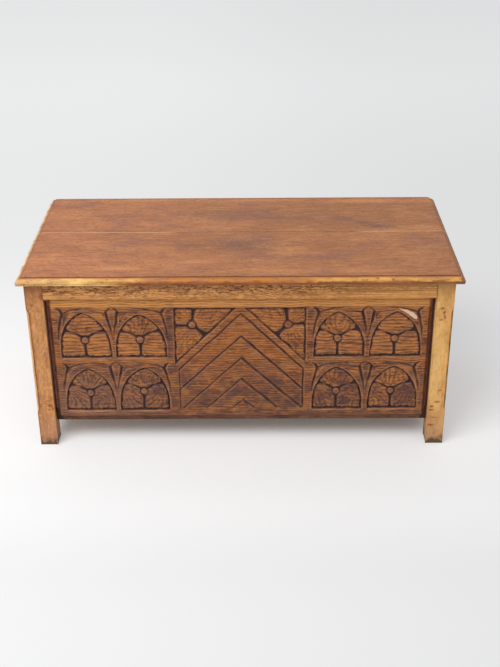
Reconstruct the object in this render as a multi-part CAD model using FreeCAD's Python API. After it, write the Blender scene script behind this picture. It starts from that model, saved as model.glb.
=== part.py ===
import FreeCAD, Part
import math
import os

# A joined oak coffer: four posts with rails tenoned between them, panels held in grooves, a floor of loose
# boards, a carved front panel and a moulded two-board lid that turns on two butt hinges at the back.
# Sizes are in millimetres. X runs to the right, Y from front to back and Z up.
# The origin is on the floor, under the middle of the lid.

# Lid
lid_width = 1016.0
lid_depth = 500.0
lid_thickness = 19.0
lid_front_board_depth = 267.0
lid_overhang_front = 19.0
lid_overhang_end = 18.0
lid_overhang_back = 18.0
moulding_quirk = 1.8
moulding_radius = 12.0

# Battens that keep the lid boards flat
batten_setback = 195.5
batten_width = 45.0
batten_thickness = 20.0
batten_end_gap = 6.0
batten_bevel = 8.0

# Posts and rails
carcase_height = 437.0
post_side = 42.0
leg_height = 60.0
top_rail_height = 43.0
bottom_rail_height = 43.0
rail_thickness = 25.0
front_top_rail_thickness = 36.0
muntin_width = 60.0
tenon_length = 22.0
tenon_thickness = 10.0
tenon_shoulder = 9.0
groove_depth = 8.0
post_chamfer = 5.0
chamfer_start = 92.0
chamfer_end = 371.0

# Plain panels of the ends and the back
panel_recess = 8.0
panel_tongue = 6.0
panel_rise = 4.0
panel_bevel = 20.0

# Carved front panel: a board with rebated margins round a raised field
field_recess = 9.0
field_thickness = 11.0
carved_board_thickness = 10.0
field_side_margin = 12.0
field_bottom = 77.0
front_bottom_rail_height = 35.0
front_bottom_rail_thickness = 22.0
lip_tongue = 6.0

# Carving on the field
border_side = 17.0
border_bottom = 17.5
arch_width = 116.5
arch_height = 117.0
arch_spring = 30.0
mullion = 13.5
arch_band = 12.0
cross_bar = 14.5
pocket_depth = 5.5
carving_gap = 3.5
stem_groove = 4.0
boss_radius = 10.0
boss_height = 50.0
boss_crown_radius = 6.0
boss_stroke_count = 8
petal_disc_radius = 38.0
lower_petal_height = 64.0
petal_sink = 1.2
spandrel_depth = 2.0
kite_half_width = 14.0
kite_shoulder = 12.0
kite_moat = 4.5
centre_gap = 18.0
hood_width = 18.5
hood_drop = 11.5
chevron_count = 5
chevron_pitch = 58.2
chevron_slope = 14.0
chevron_steep = 1.6
chevron_depth = 4.2
chevron_inset = 7.0
chevron_foot = 21.0
corner_boss_inset = 42.0

# Floor
floor_board_count = 7
floor_board_thickness = 12.0
floor_board_gap = 0.6
bearer_lift = 2.0
bearer_height = 18.0
bearer_depth = 18.0

# Hinges
hinge_setback = 80.5
hinge_length = 75.0
leaf_width = 22.0
leaf_thickness = 2.0
knuckle_radius = 3.5
knuckle_count = 3
knuckle_gap = 0.3
pin_radius = 1.75
pin_clearance = 0.05
barrel_clearance = 0.5

# Fastenings
screw_head_radius = 3.4
screw_shank_radius = 1.7
screw_side_count = 8
leaf_screw_length = 15.0
batten_screw_length = 32.0
nail_length = 26.0
nail_shank = 2.2
nail_head = 5.0
nail_head_thickness = 1.0

# Clearances
joint_clearance = 0.2
expansion_gap = 1.0
screw_clearance = 0.1
overshoot = 1.0

# Places worked out from the sizes above
carcase_half_width = lid_width / 2 - lid_overhang_end
inner_half_width = carcase_half_width - post_side
end_rail_inner_x = carcase_half_width - rail_thickness
y_lid_front = -lid_depth / 2
y_lid_back = lid_depth / 2
y_front = y_lid_front + lid_overhang_front
y_back = y_lid_back - lid_overhang_back
y_front_inner = y_front + post_side
y_back_inner = y_back - post_side
z_lid_top = carcase_height + lid_thickness
z_top_rail = carcase_height - top_rail_height
z_bottom_rail_top = leg_height + bottom_rail_height
z_front_bottom_rail_top = leg_height + front_bottom_rail_height
y_field = y_front + field_recess
y_board = y_field + field_thickness
y_board_back = y_board + carved_board_thickness
z_bearer_bottom = leg_height + bearer_lift
z_floor = z_bearer_bottom + bearer_height
axis_y = y_back + barrel_clearance + knuckle_radius
axis_z = carcase_height
hinge_centre = inner_half_width - hinge_setback - hinge_length / 2
batten_centre = inner_half_width - batten_setback - batten_width / 2

pieces = {}


def box(x0, x1, y0, y1, z0, z1):
    return Part.makeBox(x1 - x0, y1 - y0, z1 - z0, FreeCAD.Vector(x0, y0, z0))


def prism(points, along):
    """A straight prism: the closed outline through the points, carried along a vector."""
    corners = [FreeCAD.Vector(*point) for point in points]
    return Part.Face(Part.makePolygon(corners + corners[:1])).extrude(FreeCAD.Vector(*along))


def front_prism(outline, y0, y1):
    """A prism whose outline is given as (x, z) points, standing between two depths."""
    return prism([(x, y0, z) for x, z in outline], (0, y1 - y0, 0))


def disc(x, z, radius, y0, y1):
    return Part.makeCylinder(radius, y1 - y0, FreeCAD.Vector(x, y0, z), FreeCAD.Vector(0, 1, 0))


def frustum(lower, upper):
    """A solid between two flat outlines with equally many corners, joined by flat sides."""
    def face(corners):
        return Part.Face(Part.makePolygon(corners + corners[:1]))

    count = len(lower)
    sides = [face([lower[i], lower[(i + 1) % count], upper[(i + 1) % count], upper[i]]) for i in range(count)]
    solid = Part.Solid(Part.Shell([face(lower)] + sides + [face(upper)]))
    if solid.Volume < 0:
        solid.reverse()
    return solid


def ring(radius, count, level):
    """The corners of a regular outline about the Z axis, at a height."""
    turn = 2 * math.pi / count
    return [FreeCAD.Vector(radius * math.cos(i * turn), radius * math.sin(i * turn), level)
            for i in range(count)]


def grown(bounds, by):
    """Bounds (x0, x1, y0, y1, z0, z1) made larger by the same amount on every side."""
    return tuple(value + (by if index % 2 else -by) for index, value in enumerate(bounds))


# ---------------------------------------------------------------------------------------------- joints

def tenon_bounds(rail, axis):
    """Bounds of the two tenons on the ends of a rail that runs along X (0), Y (1) or Z (2)."""
    across = min((0, 1, 2), key=lambda i: rail[2 * i + 1] - rail[2 * i] if i != axis else 1e9)
    tall = 3 - axis - across
    bounds = []
    for end, step in ((rail[2 * axis], -tenon_length), (rail[2 * axis + 1], tenon_length)):
        tenon = [0.0] * 6
        tenon[2 * axis] = min(end, end + step)
        tenon[2 * axis + 1] = max(end, end + step)
        middle = (rail[2 * across] + rail[2 * across + 1]) / 2
        tenon[2 * across] = middle - tenon_thickness / 2
        tenon[2 * across + 1] = middle + tenon_thickness / 2
        tenon[2 * tall] = rail[2 * tall] + tenon_shoulder
        tenon[2 * tall + 1] = rail[2 * tall + 1] - tenon_shoulder
        bounds.append(tuple(tenon))
    return bounds


def tenoned(rail, axis):
    """A rail with a tenon on each end."""
    return box(*rail).fuse([box(*bounds) for bounds in tenon_bounds(rail, axis)]).removeSplitter()


def mortises(rail, axis):
    """The holes that take a rail's tenons."""
    return [box(*grown(bounds, joint_clearance)) for bounds in tenon_bounds(rail, axis)]


# ---------------------------------------------------------------------------------------- frame layout

front_top_rail = (-inner_half_width, inner_half_width, y_front, y_front + front_top_rail_thickness,
                  z_top_rail, carcase_height)
front_bottom_rail = (-inner_half_width, inner_half_width, y_board, y_board + front_bottom_rail_thickness,
                     leg_height, z_front_bottom_rail_top)
back_top_rail = (-inner_half_width, inner_half_width, y_back - rail_thickness, y_back,
                 z_top_rail, carcase_height)
back_bottom_rail = (-inner_half_width, inner_half_width, y_back - rail_thickness, y_back,
                    leg_height, z_bottom_rail_top)
back_muntin = (-muntin_width / 2, muntin_width / 2, y_back - rail_thickness, y_back,
               z_bottom_rail_top, z_top_rail)
left_top_rail = (-carcase_half_width, -end_rail_inner_x, y_front_inner, y_back_inner,
                 z_top_rail, carcase_height)
left_bottom_rail = (-carcase_half_width, -end_rail_inner_x, y_front_inner, y_back_inner,
                    leg_height, z_bottom_rail_top)
right_top_rail = (end_rail_inner_x, carcase_half_width, y_front_inner, y_back_inner,
                  z_top_rail, carcase_height)
right_bottom_rail = (end_rail_inner_x, carcase_half_width, y_front_inner, y_back_inner,
                     leg_height, z_bottom_rail_top)

tongue_reach = groove_depth - expansion_gap
panel_bottom = z_bottom_rail_top - groove_depth + joint_clearance
panel_top = z_top_rail + tongue_reach

# Tongue slabs of the panels, which set the grooves in the posts, rails and muntin
carved_board = (-inner_half_width - tongue_reach, inner_half_width + tongue_reach,
                y_board, y_board_back, z_front_bottom_rail_top, panel_top)
lip_tongue_slab = (-inner_half_width, inner_half_width, y_board_back - lip_tongue, y_board_back,
                   z_front_bottom_rail_top - tongue_reach, z_front_bottom_rail_top)
left_end_slab = (-carcase_half_width + panel_recess, -carcase_half_width + panel_recess + panel_tongue,
                 y_front_inner - tongue_reach, y_back_inner + tongue_reach, panel_bottom, panel_top)
right_end_slab = (carcase_half_width - panel_recess - panel_tongue, carcase_half_width - panel_recess,
                  y_front_inner - tongue_reach, y_back_inner + tongue_reach, panel_bottom, panel_top)
back_left_slab = (-inner_half_width - tongue_reach, -muntin_width / 2 + tongue_reach,
                  y_back - panel_recess - panel_tongue, y_back - panel_recess, panel_bottom, panel_top)
back_right_slab = (muntin_width / 2 - tongue_reach, inner_half_width + tongue_reach,
                   y_back - panel_recess - panel_tongue, y_back - panel_recess, panel_bottom, panel_top)


def groove(slab):
    """The groove that takes a panel's tongue: the slab with clearance, and room above it to swell."""
    x0, x1, y0, y1, z0, z1 = grown(slab, joint_clearance)
    return box(x0, x1, y0, y1, z0, z1 + expansion_gap)


end_and_back_slabs = (left_end_slab, right_end_slab, back_left_slab, back_right_slab)
grooves = [groove(slab) for slab in (carved_board, lip_tongue_slab) + end_and_back_slabs]
rails_along_x = (front_top_rail, front_bottom_rail, back_top_rail, back_bottom_rail)
rails_along_y = (left_top_rail, left_bottom_rail, right_top_rail, right_bottom_rail)
post_mortises = [hole for rail in rails_along_x for hole in mortises(rail, 0)]
post_mortises += [hole for rail in rails_along_y for hole in mortises(rail, 1)]


# ---------------------------------------------------------------------------------------- posts, rails

def stopped_chamfer(side):
    """Waste of the chamfer on a front post's outer arris: a bevel that runs out at each end."""
    depth = post_chamfer / math.sqrt(2)
    reach = depth + overshoot
    run_out = 2 * post_chamfer
    outline = [(-depth, chamfer_start + run_out), (overshoot, chamfer_start - run_out * overshoot / depth),
               (overshoot, chamfer_end + run_out * overshoot / depth), (-depth, chamfer_end - run_out)]
    outward = FreeCAD.Vector(side, -1, 0).normalize()
    along = FreeCAD.Vector(1, side, 0).normalize()
    arris = FreeCAD.Vector(side * carcase_half_width, y_front, 0)
    corners = [arris + outward * n + FreeCAD.Vector(0, 0, z) - along * 2 * reach for n, z in outline]
    return prism([tuple(corner) for corner in corners], tuple(along * 4 * reach))


def post(side, y0, waste):
    """A corner post with its mortises and grooves. side is -1 for the left and 1 for the right."""
    x0 = min(side * inner_half_width, side * carcase_half_width)
    stock = box(x0, x0 + post_side, y0, y0 + post_side, 0, carcase_height)
    return stock.cut(post_mortises + grooves + waste).removeSplitter()


def frame():
    """Posts, rails and muntin."""
    for name, side in (("left", -1), ("right", 1)):
        pieces["front_" + name + "_post"] = post(side, y_front, [stopped_chamfer(side)])
        pieces["back_" + name + "_post"] = post(side, y_back_inner, [])
    muntin_mortises = mortises(back_muntin, 2)
    pieces["front_top_rail"] = tenoned(front_top_rail, 0).cut(grooves)
    pieces["front_bottom_rail"] = tenoned(front_bottom_rail, 0).cut(grooves)
    pieces["back_top_rail"] = tenoned(back_top_rail, 0).cut(grooves + muntin_mortises)
    pieces["back_bottom_rail"] = tenoned(back_bottom_rail, 0).cut(grooves + muntin_mortises)
    pieces["back_muntin"] = tenoned(back_muntin, 2).cut(grooves)
    pieces["left_top_rail"] = tenoned(left_top_rail, 1).cut(grooves)
    pieces["left_bottom_rail"] = tenoned(left_bottom_rail, 1).cut(grooves)
    pieces["right_top_rail"] = tenoned(right_top_rail, 1).cut(grooves)
    pieces["right_bottom_rail"] = tenoned(right_bottom_rail, 1).cut(grooves)


# ---------------------------------------------------------------------------------------- plain panels

def bevelled_panel(slab, normal):
    """A plain panel: a thin tongue all round, bevelled up on the inside face to its full thickness.
    normal is the axis across the panel (0 or 1) with the sign of the inside face."""
    axis, inward = normal
    base = slab[2 * axis + 1] if inward > 0 else slab[2 * axis]
    long_axis = 1 - axis
    rectangles = []
    flat = groove_depth + overshoot
    for inset, rise in ((flat, 0.0), (flat + panel_bevel, panel_rise)):
        a0, a1 = slab[2 * long_axis] + inset, slab[2 * long_axis + 1] - inset
        z0, z1 = slab[4] + inset, slab[5] - inset
        level = base + inward * rise
        corners = []
        for a, z in ((a0, z0), (a1, z0), (a1, z1), (a0, z1)):
            corners.append(FreeCAD.Vector(level, a, z) if axis == 0 else FreeCAD.Vector(a, level, z))
        rectangles.append(corners)
    return box(*slab).fuse(frustum(*rectangles)).removeSplitter()


def plain_panels():
    pieces["left_end_panel"] = bevelled_panel(left_end_slab, (0, 1))
    pieces["right_end_panel"] = bevelled_panel(right_end_slab, (0, -1))
    pieces["back_left_panel"] = bevelled_panel(back_left_slab, (1, -1))
    pieces["back_right_panel"] = bevelled_panel(back_right_slab, (1, -1))


# ---------------------------------------------------------------------------------------- carved panel

field_half_width = inner_half_width - field_side_margin
arch_half = arch_width / 2
arch_rise = arch_height - arch_spring
arch_offset = (arch_rise ** 2 - arch_half ** 2) / arch_width
row_pitch = arch_height + arch_band + cross_bar
lower_row = field_bottom + border_bottom
upper_row = lower_row + row_pitch
carving_top = upper_row + arch_height + arch_band
outer_arch_x = field_half_width - border_side - arch_half
inner_arch_x = outer_arch_x - arch_width - mullion
centre_half_width = inner_arch_x - arch_half - centre_gap
y_skin = y_field - overshoot
y_pocket = y_field + pocket_depth
facing_front = FreeCAD.Rotation(FreeCAD.Vector(0, 0, 1), FreeCAD.Vector(0, -1, 0))


def pointed_arch(x, z, grow, y0, y1):
    """A two-centred pointed arch on a straight foot. Each side is an arc about a centre on the springing
    line beyond the middle, and grow moves the whole outline outwards by the same amount."""
    half = arch_half + grow
    radius = arch_half + arch_offset + grow
    spring = z + arch_spring
    foot = z - grow
    apex_angle = math.acos(arch_offset / radius)
    mid_x = radius * math.cos(apex_angle / 2) - arch_offset
    mid_z = spring + radius * math.sin(apex_angle / 2)
    apex = FreeCAD.Vector(x, y0, spring + radius * math.sin(apex_angle))
    left_foot = FreeCAD.Vector(x - half, y0, foot)
    left_spring = FreeCAD.Vector(x - half, y0, spring)
    right_foot = FreeCAD.Vector(x + half, y0, foot)
    right_spring = FreeCAD.Vector(x + half, y0, spring)
    edges = [Part.LineSegment(left_foot, left_spring).toShape(),
             Part.Arc(left_spring, FreeCAD.Vector(x - mid_x, y0, mid_z), apex).toShape(),
             Part.Arc(apex, FreeCAD.Vector(x + mid_x, y0, mid_z), right_spring).toShape(),
             Part.LineSegment(right_spring, right_foot).toShape(),
             Part.LineSegment(right_foot, left_foot).toShape()]
    return Part.Face(Part.Wire(edges)).extrude(FreeCAD.Vector(0, y1 - y0, 0))


def boss(x, z):
    """A button boss on the pocket's floor: an upright rim under a bevel cut with flat strokes."""
    rise = pocket_depth - petal_sink
    rim = ring(boss_radius, boss_stroke_count, 0)
    shoulder = ring(boss_radius, boss_stroke_count, rise / 2)
    crown = ring(boss_crown_radius, boss_stroke_count, rise)
    button = frustum(rim, shoulder).fuse(frustum(shoulder, crown)).removeSplitter()
    button.Placement = FreeCAD.Placement(FreeCAD.Vector(x, y_pocket, z), facing_front)
    return button


def arch_flower(x, z):
    """Three petals and a boss: a broad petal under the point of the arch, and one each side of the stem."""
    y_petal = y_field + petal_sink
    inner = pointed_arch(x, z, -carving_gap, y_petal, y_pocket)
    disc_z = z + boss_height + boss_radius + petal_disc_radius
    top = inner.common([disc(x, disc_z, petal_disc_radius, y_petal, y_pocket).fuse(
        front_prism([(x - petal_disc_radius, disc_z), (x + petal_disc_radius, disc_z),
                     (x + petal_disc_radius, z + arch_height), (x - petal_disc_radius, z + arch_height)],
                    y_petal, y_pocket))])
    below = front_prism([(x - arch_half, z), (x + arch_half, z), (x + arch_half, z + lower_petal_height),
                         (x - arch_half, z + lower_petal_height)], y_petal, y_pocket)
    stem = front_prism([(x - stem_groove / 2, z), (x + stem_groove / 2, z),
                        (x + stem_groove / 2, z + boss_height), (x - stem_groove / 2, z + boss_height)],
                       y_petal, y_pocket)
    around_boss = disc(x, z + boss_height, boss_radius + carving_gap, y_petal, y_pocket)
    clear_of_top = disc(x, disc_z, petal_disc_radius + carving_gap, y_petal, y_pocket)
    sides = inner.common(below).cut([stem, around_boss, clear_of_top])
    return [top, sides, boss(x, z + boss_height)]


def kite(x, z_point, z_top, grow):
    """The kite between two arches: a point below, shoulders, and a blunt head."""
    half = kite_half_width + grow
    shoulder = z_top - kite_shoulder
    head = half / 3
    return front_prism([(x, z_point - 2 * grow), (x + half, shoulder), (x + head, z_top), (x - head, z_top),
                        (x - half, shoulder)], y_skin, y_pocket)


def arch_cell(x, z):
    """Waste of one arch: the pocket inside it, less its flower."""
    return pointed_arch(x, z, 0.0, y_skin, y_pocket).cut(arch_flower(x, z))


def spandrels(z, x_arches):
    """Waste round the heads of a pair of arches, with a kite left standing between them."""
    z_top = z + arch_height + arch_band
    outer_radius = arch_half + arch_offset + arch_band
    crossing = math.sqrt(outer_radius ** 2 - (arch_offset + arch_half + mullion / 2) ** 2)
    z_point = z + arch_spring + crossing
    x_low = min(x_arches) - arch_half - arch_band + mullion / 2
    x_high = max(x_arches) + arch_half + arch_band - mullion / 2
    ground = front_prism([(x_low, z_point), (x_high, z_point), (x_high, z_top), (x_low, z_top)],
                         y_skin, y_field + spandrel_depth)
    middle = sum(x_arches) / 2
    heads = [pointed_arch(x, z, arch_band, y_skin - overshoot, y_pocket) for x in x_arches]
    z_kite = z_point + kite_moat
    moat = kite(middle, z_kite, z_top, kite_moat).common(
        box(x_low, x_high, y_skin, y_pocket, z_point - kite_moat, z_top))
    return ground.fuse(moat).cut(heads + [kite(middle, z_kite, z_top, 0.0)])


def wedge_groove(apex_z, side):
    """One arm of a chevron cut: steep on the inner side and a long slope on the outer side, running down
    at 45 degrees from the middle."""
    lift = 1 + overshoot / chevron_depth
    outward = FreeCAD.Vector(side, 0, 1).normalize()
    arm = FreeCAD.Vector(side, 0, -1).normalize()
    apex = FreeCAD.Vector(0, y_field, apex_z)
    corners = []
    for across, depth in ((-chevron_steep * lift, -overshoot), (0, chevron_depth),
                          (chevron_slope * lift, -overshoot)):
        corners.append(apex + outward * across + FreeCAD.Vector(0, depth, 0) - arm * 2 * chevron_slope)
    run = 2 * centre_half_width + 2 * chevron_slope
    half_space = box(min(0, side * run), max(0, side * run), y_skin - overshoot, y_board,
                     apex_z - run, apex_z + run)
    return prism([tuple(corner) for corner in corners], tuple(arm * run)).common(half_space)


def centre_section():
    """Waste of the chevrons, the hood band's outer line and the two flowered corners."""
    limit = centre_half_width - chevron_inset
    hood_rise = hood_width * math.sqrt(2)
    first_apex = carving_top - hood_drop
    foot = field_bottom + chevron_foot
    bounds = box(-limit, limit, y_skin - overshoot, y_board, foot, carving_top + hood_rise)
    waste = []
    for index in range(chevron_count):
        for side in (-1, 1):
            waste.append(wedge_groove(first_apex - index * chevron_pitch, side).common(bounds))
    for side in (-1, 1):
        waste.append(flowered_corner(side, first_apex + hood_rise))
        waste.append(side_groove(side * limit, foot, first_apex - limit))
    return waste


def side_groove(x, z0, z1):
    """A V cut that closes the chevrons at the side."""
    half = chevron_steep
    lift = 1 + overshoot / chevron_depth
    section = [(x - half * lift, y_field - overshoot, z0), (x, y_field + chevron_depth, z0),
               (x + half * lift, y_field - overshoot, z0)]
    return prism(section, (0, 0, z1 - z0))


def flowered_corner(side, hood_apex):
    """Waste of a corner triangle above the hood band, less three petals and a boss."""
    y_petal = y_field + petal_sink
    outer = side * centre_half_width
    top_inner = side * (hood_apex - carving_top)
    low = hood_apex - centre_half_width
    pocket = front_prism([(outer, carving_top), (top_inner, carving_top), (outer, low)], y_skin, y_pocket)
    margin = carving_gap * (1 + math.sqrt(2))
    petals = front_prism([(outer - side * carving_gap, carving_top - carving_gap),
                          (top_inner + side * margin, carving_top - carving_gap),
                          (outer - side * carving_gap, low + margin)], y_petal, y_pocket)
    x = outer - side * corner_boss_inset
    z = carving_top - corner_boss_inset
    half = stem_groove / 2
    upward = box(x - half, x + half, y_petal, y_pocket, z, carving_top)
    outward = box(min(x, outer), max(x, outer), y_petal, y_pocket, z - half, z + half)
    reach = corner_boss_inset * math.sqrt(2)
    diagonal = box(-half, half, y_petal, y_pocket, 0, reach)
    diagonal.rotate(FreeCAD.Vector(0, 0, 0), FreeCAD.Vector(0, 1, 0), -side * 135)
    diagonal.translate(FreeCAD.Vector(x, 0, z))
    around_boss = disc(x, z, boss_radius + carving_gap, y_petal, y_pocket)
    return pocket.cut([petals.cut([upward, outward, diagonal, around_boss]), boss(x, z)])


def carved_front_panel():
    """The front panel: tongued board, raised field with a lip over the bottom rail, and the carving."""
    field = box(-field_half_width, field_half_width, y_field, y_board, field_bottom,
                z_top_rail - expansion_gap)
    panel = box(*carved_board).fuse([field, box(*lip_tongue_slab)]).removeSplitter()
    waste = centre_section()
    for side in (-1, 1):
        arches = (side * inner_arch_x, side * outer_arch_x)
        for z in (lower_row, upper_row):
            waste += [arch_cell(x, z) for x in arches]
            waste.append(spandrels(z, arches))
    pieces["carved_front_panel"] = panel.cut(waste)


# ---------------------------------------------------------------------------------------- lid

def moulding_waste(length):
    """Waste of the lid's edge moulding along +X, for a lid edge that faces -Y at y = 0: above a plain
    lower fillet, a quarter round runs up to a small quirk under the top."""
    fillet = lid_thickness - moulding_quirk - moulding_radius
    low = FreeCAD.Vector(0, 0, fillet)
    middle = FreeCAD.Vector(0, moulding_radius * (1 - math.sqrt(0.5)),
                            fillet + moulding_radius * math.sqrt(0.5))
    high = FreeCAD.Vector(0, moulding_radius, fillet + moulding_radius)
    top = lid_thickness + overshoot
    rest = [high, FreeCAD.Vector(0, moulding_radius, top), FreeCAD.Vector(0, -overshoot, top),
            FreeCAD.Vector(0, -overshoot, fillet), low]
    edges = [Part.Arc(low, middle, high).toShape()]
    edges += [Part.LineSegment(a, b).toShape() for a, b in zip(rest, rest[1:])]
    return Part.Face(Part.Wire(edges)).extrude(FreeCAD.Vector(length, 0, 0))


def lid_mouldings():
    """Waste of the moulding on the lid's front and both ends, meeting in mitres."""
    origin = FreeCAD.Vector(0, 0, 0)
    up = FreeCAD.Vector(0, 0, 1)
    front = moulding_waste(lid_width + 2 * overshoot)
    front.translate(FreeCAD.Vector(-lid_width / 2 - overshoot, y_lid_front, carcase_height))
    right = moulding_waste(lid_depth + 2 * overshoot)
    right.rotate(origin, up, 90)
    right.translate(FreeCAD.Vector(lid_width / 2, y_lid_front - overshoot, carcase_height))
    left = moulding_waste(lid_depth + 2 * overshoot)
    left.rotate(origin, up, -90)
    left.translate(FreeCAD.Vector(-lid_width / 2, y_lid_back + overshoot, carcase_height))
    return [front, left, right]


def lid_boards():
    y_joint = y_lid_front + lid_front_board_depth
    waste = lid_mouldings()
    for name, y0, y1 in (("lid_front_board", y_lid_front, y_joint), ("lid_back_board", y_joint, y_lid_back)):
        stock = box(-lid_width / 2, lid_width / 2, y0, y1, carcase_height, z_lid_top)
        pieces[name] = stock.cut(waste)


def battens():
    """Two battens across the lid boards, inside the carcase, with bevelled ends."""
    y0 = y_front + front_top_rail_thickness + batten_end_gap
    y1 = y_back - rail_thickness - batten_end_gap
    z0 = carcase_height - batten_thickness
    for name, side in (("left", -1), ("right", 1)):
        x = side * batten_centre - batten_width / 2
        profile = [(x, y0, carcase_height), (x, y0, z0 + batten_bevel), (x, y0 + batten_bevel, z0),
                   (x, y1 - batten_bevel, z0), (x, y1, z0 + batten_bevel), (x, y1, carcase_height)]
        pieces["lid_" + name + "_batten"] = prism(profile, (batten_width, 0, 0))


# ---------------------------------------------------------------------------------------- floor

def floor():
    """Bearers inside the front and back bottom rails, and boards laid on them from front to back."""
    y0 = y_board + front_bottom_rail_thickness
    y1 = y_back - rail_thickness
    pieces["front_floor_bearer"] = box(-inner_half_width + expansion_gap, inner_half_width - expansion_gap,
                                       y0, y0 + bearer_depth, z_bearer_bottom, z_floor)
    pieces["back_floor_bearer"] = box(-inner_half_width + expansion_gap, inner_half_width - expansion_gap,
                                      y1 - bearer_depth, y1, z_bearer_bottom, z_floor)
    post_gap = joint_clearance + floor_board_gap / 2
    corners = []
    for side in (-1, 1):
        x0 = min(side * inner_half_width, side * carcase_half_width)
        for y_post in (y_front, y_back_inner):
            corners.append(box(x0 - post_gap, x0 + post_side + post_gap, y_post - post_gap,
                               y_post + post_side + post_gap, z_floor - overshoot,
                               z_floor + floor_board_thickness + overshoot))
    width = (2 * end_rail_inner_x + floor_board_gap) / floor_board_count
    for index in range(floor_board_count):
        x0 = -end_rail_inner_x + index * width
        board = box(x0, x0 + width - floor_board_gap, y0, y1 - floor_board_gap, z_floor,
                    z_floor + floor_board_thickness)
        pieces["floor_board_" + str(index + 1)] = board.cut(corners)
    return width


# ---------------------------------------------------------------------------------------- hinges

def cylinder_x(x0, x1, radius):
    return Part.makeCylinder(radius, x1 - x0, FreeCAD.Vector(x0, axis_y, axis_z), FreeCAD.Vector(1, 0, 0))


def hinge_leaf(centre, z0, parity):
    """A butt hinge leaf: a plate, and every other knuckle of the barrel. parity picks the knuckles."""
    start = centre - hinge_length / 2
    knuckle = (hinge_length - (knuckle_count - 1) * knuckle_gap) / knuckle_count
    plate_end = axis_y - knuckle_radius - barrel_clearance
    leaf = box(start, start + hinge_length, axis_y - leaf_width, plate_end, z0, z0 + leaf_thickness)
    for index in range(parity, knuckle_count, 2):
        x0 = start + index * (knuckle + knuckle_gap)
        leaf = leaf.fuse([box(x0, x0 + knuckle, plate_end, axis_y, z0, z0 + leaf_thickness),
                          cylinder_x(x0, x0 + knuckle, knuckle_radius)])
    bore = cylinder_x(start - overshoot, start + hinge_length + overshoot, pin_radius + pin_clearance)
    return leaf.cut(bore).removeSplitter()


def hinges():
    """Two butt hinges let into the top of the back rail and the underside of the lid."""
    let_in = joint_clearance
    notch = knuckle_radius + let_in
    for name, side in (("left", -1), ("right", 1)):
        centre = side * hinge_centre
        x0, x1 = centre - hinge_length / 2, centre + hinge_length / 2
        pieces[name + "_hinge_frame_leaf"] = hinge_leaf(centre, carcase_height - leaf_thickness, 0)
        pieces[name + "_hinge_lid_leaf"] = hinge_leaf(centre, carcase_height, 1)
        pieces[name + "_hinge_pin"] = cylinder_x(x0, x1, pin_radius)
        rail_recess = box(x0 - let_in, x1 + let_in, axis_y - leaf_width - let_in, y_back + overshoot,
                          carcase_height - leaf_thickness, carcase_height + overshoot)
        lid_recess = box(x0 - let_in, x1 + let_in, axis_y - leaf_width - let_in, axis_y,
                         carcase_height - overshoot, carcase_height + leaf_thickness)
        barrel_recess = box(x0 - let_in, x1 + let_in, axis_y - notch, axis_y + notch,
                            carcase_height - overshoot, carcase_height + notch)
        pieces["back_top_rail"] = pieces["back_top_rail"].cut(rail_recess)
        pieces["lid_back_board"] = pieces["lid_back_board"].cut([lid_recess, barrel_recess])


# ---------------------------------------------------------------------------------------- fastenings

def screw(point, direction, length, grow):
    """A countersunk screw with its head flush at the point, or with grow the hole that it goes in."""
    head = screw_head_radius + grow
    shank = screw_shank_radius + grow
    neck = ring(shank, screw_side_count, head - shank)
    solid = frustum(ring(head, screw_side_count, 0), neck).fuse(
        frustum(neck, ring(shank, screw_side_count, length + grow))).removeSplitter()
    solid.Placement = FreeCAD.Placement(
        FreeCAD.Vector(*point), FreeCAD.Rotation(FreeCAD.Vector(0, 0, 1), FreeCAD.Vector(*direction)))
    return solid


def drive(node, places, direction, length, through):
    """Set a group of like screws, and cut their holes in the pieces that they pass through."""
    pieces[node] = Part.makeCompound([screw(place, direction, length, 0) for place in places])
    holes = [screw(place, direction, length, screw_clearance) for place in places]
    for name in through:
        pieces[name] = pieces[name].cut(holes)


def screws():
    down, up = (0, 0, -1), (0, 0, 1)
    y_leaf = (axis_y - leaf_width + y_back) / 2
    leaf_places = []
    for side in (-1, 1):
        for step in (-1, 0, 1):
            leaf_places.append((side * hinge_centre + step * hinge_length / 3, y_leaf, axis_z))
    drive("hinge_frame_screws", leaf_places, down, leaf_screw_length,
          ("left_hinge_frame_leaf", "right_hinge_frame_leaf", "back_top_rail"))
    drive("hinge_lid_screws", leaf_places, up, leaf_screw_length,
          ("left_hinge_lid_leaf", "right_hinge_lid_leaf", "lid_back_board"))
    y_joint = y_lid_front + lid_front_board_depth
    y_start = y_front + front_top_rail_thickness + batten_end_gap
    y_end = y_back - rail_thickness - batten_end_gap
    batten_places = []
    for side in (-1, 1):
        for a, b in ((y_start, y_joint), (y_joint, y_end)):
            for share in (0.25, 0.75):
                batten_places.append((side * batten_centre, a + share * (b - a),
                                      carcase_height - batten_thickness))
    drive("lid_batten_screws", batten_places, up, batten_screw_length,
          ("lid_left_batten", "lid_right_batten", "lid_front_board", "lid_back_board"))


def cut_nail(point, direction):
    """A square cut nail driven along a direction, with its head standing on the surface at the point."""
    half = nail_shank / 2
    shank = box(-half, half, -half, half, 0, nail_length - nail_head_thickness)
    half = nail_head / 2
    head = box(-half, half, -half, half, -nail_head_thickness, 0)
    nail = shank.fuse(head).removeSplitter()
    nail.Placement = FreeCAD.Placement(
        FreeCAD.Vector(*point), FreeCAD.Rotation(FreeCAD.Vector(0, 0, 1), FreeCAD.Vector(*direction)))
    return nail


def nail_down(node, nails, through):
    """Set a group of nails, and cut their holes in the pieces that they pass through."""
    pieces[node] = Part.makeCompound(nails)
    for name in through:
        pieces[name] = pieces[name].cut(nails)


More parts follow.
